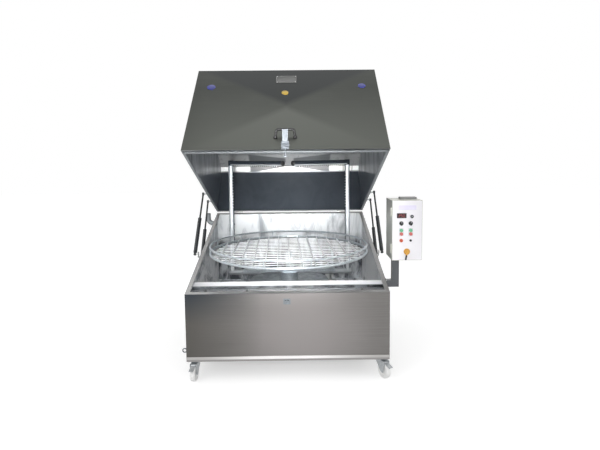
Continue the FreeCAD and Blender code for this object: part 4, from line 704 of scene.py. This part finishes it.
# %% Helpers for placing
def settle(piece, name, finish, body, place=Matrix.Identity(4)):
    """Lay a piece in its place, apply that to its mesh, finish it and let it ride."""
    piece.name = name
    piece.matrix_world = place @ piece.matrix_world
    only(piece)
    bpy.ops.object.transform_apply(location=True, rotation=True, scale=True)
    piece.data.materials.clear()
    piece.data.materials.append(finish)
    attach(piece, body)


def frame_at(point, up, right=(1, 0, 0)):
    """A frame with its z along up, its x near right and its origin at the point."""
    z = Vector(up).normalized()
    y = z.cross(Vector(right)).normalized()
    x = y.cross(z)
    return Matrix.Translation(Vector(point)) @ Matrix((x, y, z)).transposed().to_4x4()


def copies(model, name, finish, body, places):
    """One piece from a model and its places: each copy has its own mesh, joined at the end."""
    made = []
    for place in places:
        twin = model.copy()
        twin.data = model.data.copy()
        bpy.context.collection.objects.link(twin)
        twin.matrix_world = place @ model.matrix_world
        made.append(twin)
    bpy.ops.object.select_all(action="DESELECT")
    for twin in made:
        twin.select_set(True)
    bpy.context.view_layer.objects.active = made[0]
    bpy.ops.object.transform_apply(location=True, rotation=True, scale=True)
    bpy.ops.object.join()
    settle(made[0], name, finish, body)


def discard(*models):
    for model in models:
        bpy.data.objects.remove(model)


# %% [markdown]
# ## Socket-head screws
#
# The hinges, the arm's plate and the type plate are held by cap screws: a low rounded head
# with a socket sunk in it. Two sizes are modelled and copied.

# %% Screw models
def cap_screw(radius, height):
    screw = stub(18, radius, height)
    pick_top(screw)
    bpy.ops.mesh.inset(thickness=radius * 0.45)
    pull(-height * 0.6)
    done()
    round_edges(screw, radius * 0.15)
    return screw


screw_small = cap_screw(3 * MM, 2.2 * MM)
screw_large = cap_screw(6 * MM, 4 * MM)
print("screw faces", len(screw_small.data.polygons))

# %% [markdown]
# Each hinge has a leaf on the tank and one on the hood, 114 mm long and 6 mm thick, with six
# screws in each. The hood's screws are laid out as with the lid shut and then turned open.

# %% Screws on the hinges and the arm's plate
hinge_lo, hinge_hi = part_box("tank_hinges")
hinge_middle = (hinge_lo.x + hinge_hi.x) / 2
hinge_reach = (hinge_hi.x - hinge_lo.x) / 2 - 57 * MM
leaf_face = tank_hi.y + 6 * MM


def leaf_screws(rows):
    """Places on both hinges' leaves, in rows at these millimetres above the hinge's axis."""
    found = []
    for side in (-1, 1):
        centre = side * hinge_reach + hinge_middle
        for across in (-42, 0, 42):
            for row in rows:
                spot = (centre + across * MM, leaf_face, hinge_pivot.z + row * MM)
                found.append(frame_at(spot, (0, 1, 0)))
    return found


tank_places = leaf_screws((-22, -46))
lid_places = [open_turn @ place for place in leaf_screws((22, 48))]
copies(screw_large, "tank_hinge_screws", fitting_steel, "tank", tank_places)
copies(screw_large, "lid_hinge_screws", fitting_steel, "lid", lid_places)

arm_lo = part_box("box_arm")[0]
places = [frame_at((arm_lo.x + 5 * MM, arm_lo.y + back * MM, arm_lo.z + up * MM), (1, 0, 0), (0, 1, 0))
          for back in (12, 88) for up in (12, 68)]
copies(screw_large, "arm_plate_screws", fitting_steel, "tank", places)
print(len(tank_places), "and", len(lid_places), "hinge screws,", len(places), "on the arm's plate")

# %% [markdown]
# The type plate's place at the top is a blank plate with rounded edges, a raised rim and four
# small screws. The three round spots are blank stickers, a few tenths of a millimetre thick.
# The wall's pressed cross rises 6 mm to its middle, so each piece stands on that rise.

# %% Blank type plate
def swell(up):
    """How far the pressed cross stands out at this height, on the machine's middle line."""
    return 6 * MM * (1 - abs(up - wall_length / 2) / (wall_length / 2))


def plate_blank(width, height, thick, rim):
    """A plate whose face is sunk a little inside a raised rim."""
    bpy.ops.mesh.primitive_cube_add(size=1, location=(0, 0, thick / 2), scale=(width, height, thick))
    plate = bpy.context.object
    only(plate)
    bpy.ops.object.transform_apply(location=True, rotation=True, scale=True)
    pick_top(plate)
    bpy.ops.mesh.inset(thickness=rim)
    pull(-thick * 0.35)
    done()
    round_edges(plate, thick * 0.3)
    return plate


plate_across, plate_up = -2, 733 * MM
plate_out = swell(plate_up)
settle(plate_blank(148 * MM, 84 * MM, 2 * MM, 5 * MM), "blank_type_plate", plate_grey, "lid",
       on_wall(plate_across * MM, plate_up, plate_out))
places = [on_wall((plate_across + 66 * a) * MM, plate_up + 34 * b * MM, plate_out + 1.3 * MM)
          for a in (-1, 1) for b in (-1, 1)]
copies(screw_small, "type_plate_screws", fitting_steel, "lid", places)
discard(screw_small, screw_large)
print("type plate stands", round(plate_out / MM, 2), "mm out")

# %% Blank stickers
def sticker(sides, radius):
    """A thin round disc with a slightly raised middle."""
    spot = stub(sides, radius, 0.6 * MM)
    pick_top(spot)
    bpy.ops.mesh.inset(thickness=radius * 0.12)
    pull(0.2 * MM)
    done()
    round_edges(spot, 0.2 * MM)
    return spot


stickers = {"left": (label_blue, 30, -538, 646, 1.6 * MM), "right": (label_blue, 27, 540, 650, 1.6 * MM),
            "middle": (label_amber, 24, -10, 573, swell(573 * MM))}
for word, (finish, radius, across, up, proud) in stickers.items():
    settle(sticker(40, radius * MM), f"blank_sticker_{word}", finish, "lid",
           on_wall(across * MM, up * MM, proud))
print(len(stickers), "stickers")

# %% [markdown]
# ## Spray nozzles
#
# Each upright carries 12 short jet nozzles that aim at the basket's middle, and each upper arm
# 22 that point down. A nozzle is a hexagon base with a tapered head and a drilled mouth. It is
# made once, with few faces, because it repeats 68 times.

# %% A nozzle and its rows
def nozzle(across, height):
    made = stub(6, across / 2, height * 0.4)
    pick_top(made)
    bpy.ops.mesh.inset(thickness=across * 0.08)
    pull(height * 0.6)
    taper(0.62, height)
    bpy.ops.mesh.inset(thickness=across * 0.09)
    pull(-height * 0.3)
    done()
    bpy.ops.object.shade_smooth_by_angle(angle=math.radians(25))
    return made


pipe_radius, arm_radius = 21 * MM, 19 * MM
pipes = ((-1, "left"), (1, "right"))


def upright(side, word):
    """Where a pipe's upright stands, and the height at which its upper arm starts."""
    lo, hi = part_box(f"spray_pipe_{word}")
    x = lo.x + pipe_radius if side < 0 else hi.x - pipe_radius
    rear = max(v.co.y for v in nodes[f"spray_pipe_{word}"].data.vertices if v.co.z > hi.z - 0.05)
    return x, rear - pipe_radius, hi.z - pipe_radius


def arm_way(side):
    """The way an upper arm runs: forward and inward alike."""
    return Vector((-side, -1, 0)).normalized()


jet = nozzle(11 * MM, 9 * MM)
basket_lo, basket_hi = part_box("basket_rings")
basket_middle = (basket_lo + basket_hi) / 2
for side, word in pipes:
    x, y, arm_level = upright(side, word)
    inward = Vector((basket_middle.x - x, basket_middle.y - y, 0)).normalized()
    places = []
    for k in range(12):
        spot = Vector((x, y, skirt_lo.z + (870 + 24 * k) * MM)) + inward * (pipe_radius - 1 * MM)
        places.append(frame_at(spot, inward, (0, 0, 1)))
    for k in range(22):
        spot = Vector((x, y, arm_level - arm_radius + 1 * MM)) + arm_way(side) * (56 + 25 * k) * MM
        places.append(frame_at(spot, (0, 0, -1)))
    copies(jet, f"nozzles_{word}", fitting_steel, "tank", places)
    print(word, len(places), "nozzles")
discard(jet)

# %% [markdown]
# The upper arms end in black plastic plugs: a short stopper with a tapered head, dished a
# little, that stands a few millimetres out of the pipe.

# %% Arm end plugs
def end_plug(radius, length):
    plug = stub(28, radius, length)
    pick_top(plug)
    pull(radius * 0.25)
    taper(0.78, length)
    bpy.ops.mesh.inset(thickness=radius * 0.2)
    pull(-radius * 0.12)
    done()
    round_edges(plug, radius * 0.06)
    return plug


arm_length = 650 * MM
for side, word in pipes:
    tip = Vector(upright(side, word)) + arm_way(side) * arm_length
    settle(end_plug(20 * MM, 6 * MM), f"arm_plug_{word}", moulded_black, "tank",
           frame_at(tip - arm_way(side) * 1 * MM, (-side, -1, 0), (0, 0, 1)))
    print(word, "plug at", [round(v, 3) for v in tip])

# %% [markdown]
# ## The control box's face
#
# A steel ring seats each selector, and each selector carries a white pointer line, which turns
# with it.

# %% Rings and pointers of the selectors
def on_door(across, up, out=0.0):
    """A frame on the door's face: z out to the front, measured from its lower left corner."""
    return frame_at((door_x + across, door_lo.y - out, door_lo.z + up), (0, -1, 0), (1, 0, 0))


def ring(outer, inner, height):
    """A flat band with rounded edges."""
    band = stub(36, outer, height)
    pick_faces(band, lambda face: abs(face.normal.z) > 0.9)
    bpy.ops.mesh.inset(thickness=outer - inner)
    bpy.ops.mesh.bridge_edge_loops()
    done()
    round_edges(band, height * 0.2)
    return band


selectors = {word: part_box(f"selector_{word}") for word in ("left", "right")}
centres = {word: ((lo.x + hi.x) / 2 - door_x, (lo.z + hi.z) / 2 - door_lo.z)
           for word, (lo, hi) in selectors.items()}
selector_ring = ring(16 * MM, 13.4 * MM, 3 * MM)
copies(selector_ring, "selector_rings", fitting_steel, "control_door",
       [on_door(*centre) for centre in centres.values()])
discard(selector_ring)
for word, (across, up) in centres.items():
    pointer = plate_blank(1.6 * MM, 9 * MM, 0.8 * MM, 0.3 * MM)
    proud = door_lo.y - selectors[word][0].y
    settle(pointer, f"selector_pointer_{word}", label_white, f"selector_{word}",
           on_door(across, up + 7 * MM, proud - 0.2 * MM))
    print(word, "selector stands", round(proud / MM, 1), "mm out")

# %% [markdown]
# The white foil leaves 3 mm of the door bare all round. Where a maker would put a name it
# carries a blank pale label with a thin raised border.

# %% Front foil and blank label
foil = plate_blank(door_width - 6 * MM, door_height - 6 * MM, 0.4 * MM, 1 * MM)
settle(foil, "door_front_foil", foil_white, "control_door",
       on_door(door_width / 2, door_height / 2))
label = plate_blank(118 * MM, 30 * MM, 0.5 * MM, 1.5 * MM)
settle(label, "blank_door_label", label_lilac, "control_door",
       on_door(door_width / 2, 352 * MM, 0.3 * MM))
print("door", [round(v, 3) for v in (door_x, door_lo.y, door_lo.z)])

# %% [markdown]
# The display shows a number. Each digit is made of lit bars, lettered as is usual: a at the
# top, b and c down the right, d at the foot, e and f up the left, g across the middle.

# %% The display's digits
bars_of = {"2": "abged", "5": "afgcd", "0": "abcdef"}
bar_places = {"a": (0, 1, 0), "b": (0.5, 0.5, 90), "c": (0.5, -0.5, 90), "d": (0, -1, 0),
              "e": (-0.5, -0.5, 90), "f": (-0.5, 0.5, 90), "g": (0, 0, 0)}
half_digit = 8.4


def lit_bar(length, width):
    """A thin bar with pointed ends: a flat hexagon, stretched."""
    bpy.ops.mesh.primitive_cylinder_add(vertices=6, radius=width / 2, depth=0.4 * MM,
                                        location=(0, 0, 0.2 * MM), rotation=(0, 0, math.radians(30)))
    bar = bpy.context.object
    only(bar)
    bpy.ops.object.transform_apply(location=True, rotation=True, scale=True)
    bar.scale = (length / width, 1, 1)
    bpy.ops.object.transform_apply(scale=True)
    return bar


bar = lit_bar(7.5 * MM, 1.9 * MM)
places = []
for count, digit in enumerate("250"):
    for key in bars_of[digit]:
        x, y, turn = bar_places[key]
        local = Matrix.Translation((x * half_digit * MM, y * half_digit * MM, 0))
        local = local @ Matrix.Rotation(math.radians(turn), 4, "Z")
        places.append(on_door((48 + 14 * count) * MM, 299 * MM, 4 * MM) @ local)
copies(bar, "display_digits", digit_red, "control_door", places)
discard(bar)
print(len(places), "lit bars")

# %% [markdown]
# ## Fan guard on the pump's motor
#
# A motor's fan breathes through a guard of round wires on the end of its cowl. Four rings, each
# a band with rounded edges, and a small boss stand a little proud of the cowl.

# %% Fan guard
pump_lo, pump_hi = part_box("pump")
axle = Vector((pump_hi.x - 0.5 * MM, pump_hi.y - 85 * MM, pump_lo.z + 93 * MM))
for count, radius in enumerate((62, 48, 34, 20)):
    settle(ring(radius * MM, (radius - 4) * MM, 3 * MM), f"fan_guard_{count}", moulded_black, "tank",
           frame_at(axle, (1, 0, 0), (0, 0, 1)))
settle(sticker(24, 9 * MM), "fan_guard_boss", moulded_black, "tank",
       frame_at(axle + Vector((2.5 * MM, 0, 0)), (1, 0, 0), (0, 0, 1)))
print("fan guard at", [round(v, 3) for v in axle])

# %% [markdown]
# ## Cable glands under the box
#
# Three black cable glands are screwed into the box's floor: a hexagon nut and a narrower cap
# with a tapered end. They are spare and closed, so no cable leaves them.

# %% Glands
def gland(radius, length):
    nut = stub(6, radius, length * 0.3)
    pick_top(nut)
    bpy.ops.mesh.inset(thickness=radius * 0.12)
    pull(length * 0.45)
    pull(length * 0.25)
    taper(0.7, length)
    done()
    round_edges(nut, radius * 0.08)
    return nut


box_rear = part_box("control_box")[1].y
gland_model = gland(11 * MM, 20 * MM)
places = [frame_at((door_x + across * MM, box_rear - 40 * MM, door_lo.z), (0, 0, -1))
          for across in (140, 165, 188)]
copies(gland_model, "cable_glands", moulded_black, "tank", places)
discard(gland_model)
print(len(places), "glands")

# %% [markdown]
# ## Floor, light and camera
#
# The machine stands on a plain pale floor in soft studio light, with an even white surround.
# What the camera and the reflections see beyond the floor is plain white, while the light that
# the surround scatters stays lower, so that pale surfaces keep their tone.

# %% Floor and surround
def seen_directly(tree):
    """1 for what the camera, a reflection or a pane of glass looks at, 0 for scattered light."""
    rays = add(tree, "ShaderNodeLightPath")
    seen = add(tree, "ShaderNodeMath", {0: rays.outputs["Is Camera Ray"], 1: rays.outputs["Is Glossy Ray"]},
               operation="MAXIMUM")
    return add(tree, "ShaderNodeMath", {0: seen.outputs[0], 1: rays.outputs["Is Transmission Ray"]},
               operation="MAXIMUM").outputs[0]


bpy.ops.mesh.primitive_plane_add(size=30, location=(0, 0, -0.001))
floor = bpy.context.object
floor.name = "studio_floor"
floor_paint, tree, shader, place, normal = blank_material("pale_studio_floor")
shader.inputs["Base Color"].default_value = paint("#dcdcdc")
shader.inputs["Roughness"].default_value = 0.9
lift = add(tree, "ShaderNodeMath", {0: seen_directly(tree), 1: 0.5}, operation="MULTIPLY")
glow = add(tree, "ShaderNodeEmission", {"Color": (1, 1, 1, 1), "Strength": lift.outputs[0]})
both = add(tree, "ShaderNodeAddShader", {0: shader.outputs[0], 1: glow.outputs[0]})
tree.links.new(both.outputs[0], tree.nodes["Material Output"].inputs["Surface"])
floor.data.materials.append(floor_paint)

world = bpy.context.scene.world or bpy.data.worlds.new("studio")
bpy.context.scene.world = world
world.use_nodes = True
sky = world.node_tree
sky.nodes.clear()
level = add(sky, "ShaderNodeMapRange", {"Value": seen_directly(sky), "To Min": 0.66, "To Max": 1.0})
shown = add(sky, "ShaderNodeBackground", {"Color": (1, 1, 1, 1), "Strength": level.outputs["Result"]})
add(sky, "ShaderNodeOutputWorld", {"Surface": shown.outputs[0]})
print("floor", round(floor.dimensions.x), "m wide")

# %% [markdown]
# Four wide soft lamps light the machine from above and in front. Two narrow ones reach into
# the hood and the tank. Each row gives a lamp's power, size, place and aim.

# %% Lamps
lamps = {"key": (31, 2.2, (-2.4, -3.0, 3.6), (-0.1, -0.1, 0.8)),
         "fill": (16, 2.6, (3.2, -2.6, 2.6), (0, 0, 0.8)),
         "front": (18, 1.6, (-0.1, -3.6, 2.1), (-0.1, 0.2, 0.9)),
         "low": (6, 0.8, (middle_x, -3.3, 0.75), (middle_x, 0.45, 1.65)),
         "basket": (4.5, 0.7, (middle_x, -3.7, 2.0), (middle_x, 0.0, 0.62)),
         "top": (24, 3.0, (0, 0.4, 4.6), (0, 0, 0.6))}
for name, (power, width, stand, aim) in lamps.items():
    bpy.ops.object.light_add(type="AREA", location=stand)
    lamp = bpy.context.object
    lamp.name = name
    lamp.data.energy, lamp.data.size = power, width
    if name in ("low", "basket"):
        lamp.data.spread = math.radians(26)
    lamp.rotation_euler = (Vector(aim) - Vector(stand)).to_track_quat("-Z", "Y").to_euler()
print(len(lamps), "lamps")

# %% [markdown]
# The camera stands 3.55 m in front of the machine's middle, 1.43 m above the floor, and looks
# a little down.

# %% Camera
bpy.ops.object.camera_add(location=(-0.01413, -3.55346, 1.43272),
                          rotation=[math.radians(a) for a in (85.3173, 0.5723, -0.5125)])
camera = bpy.context.object
camera.data.lens = 27.354
camera.data.shift_x, camera.data.shift_y = -0.00174, -0.05295
bpy.context.scene.camera = camera
bpy.context.scene.view_settings.view_transform = "Standard"
print("lens", round(camera.data.lens, 2), "mm")
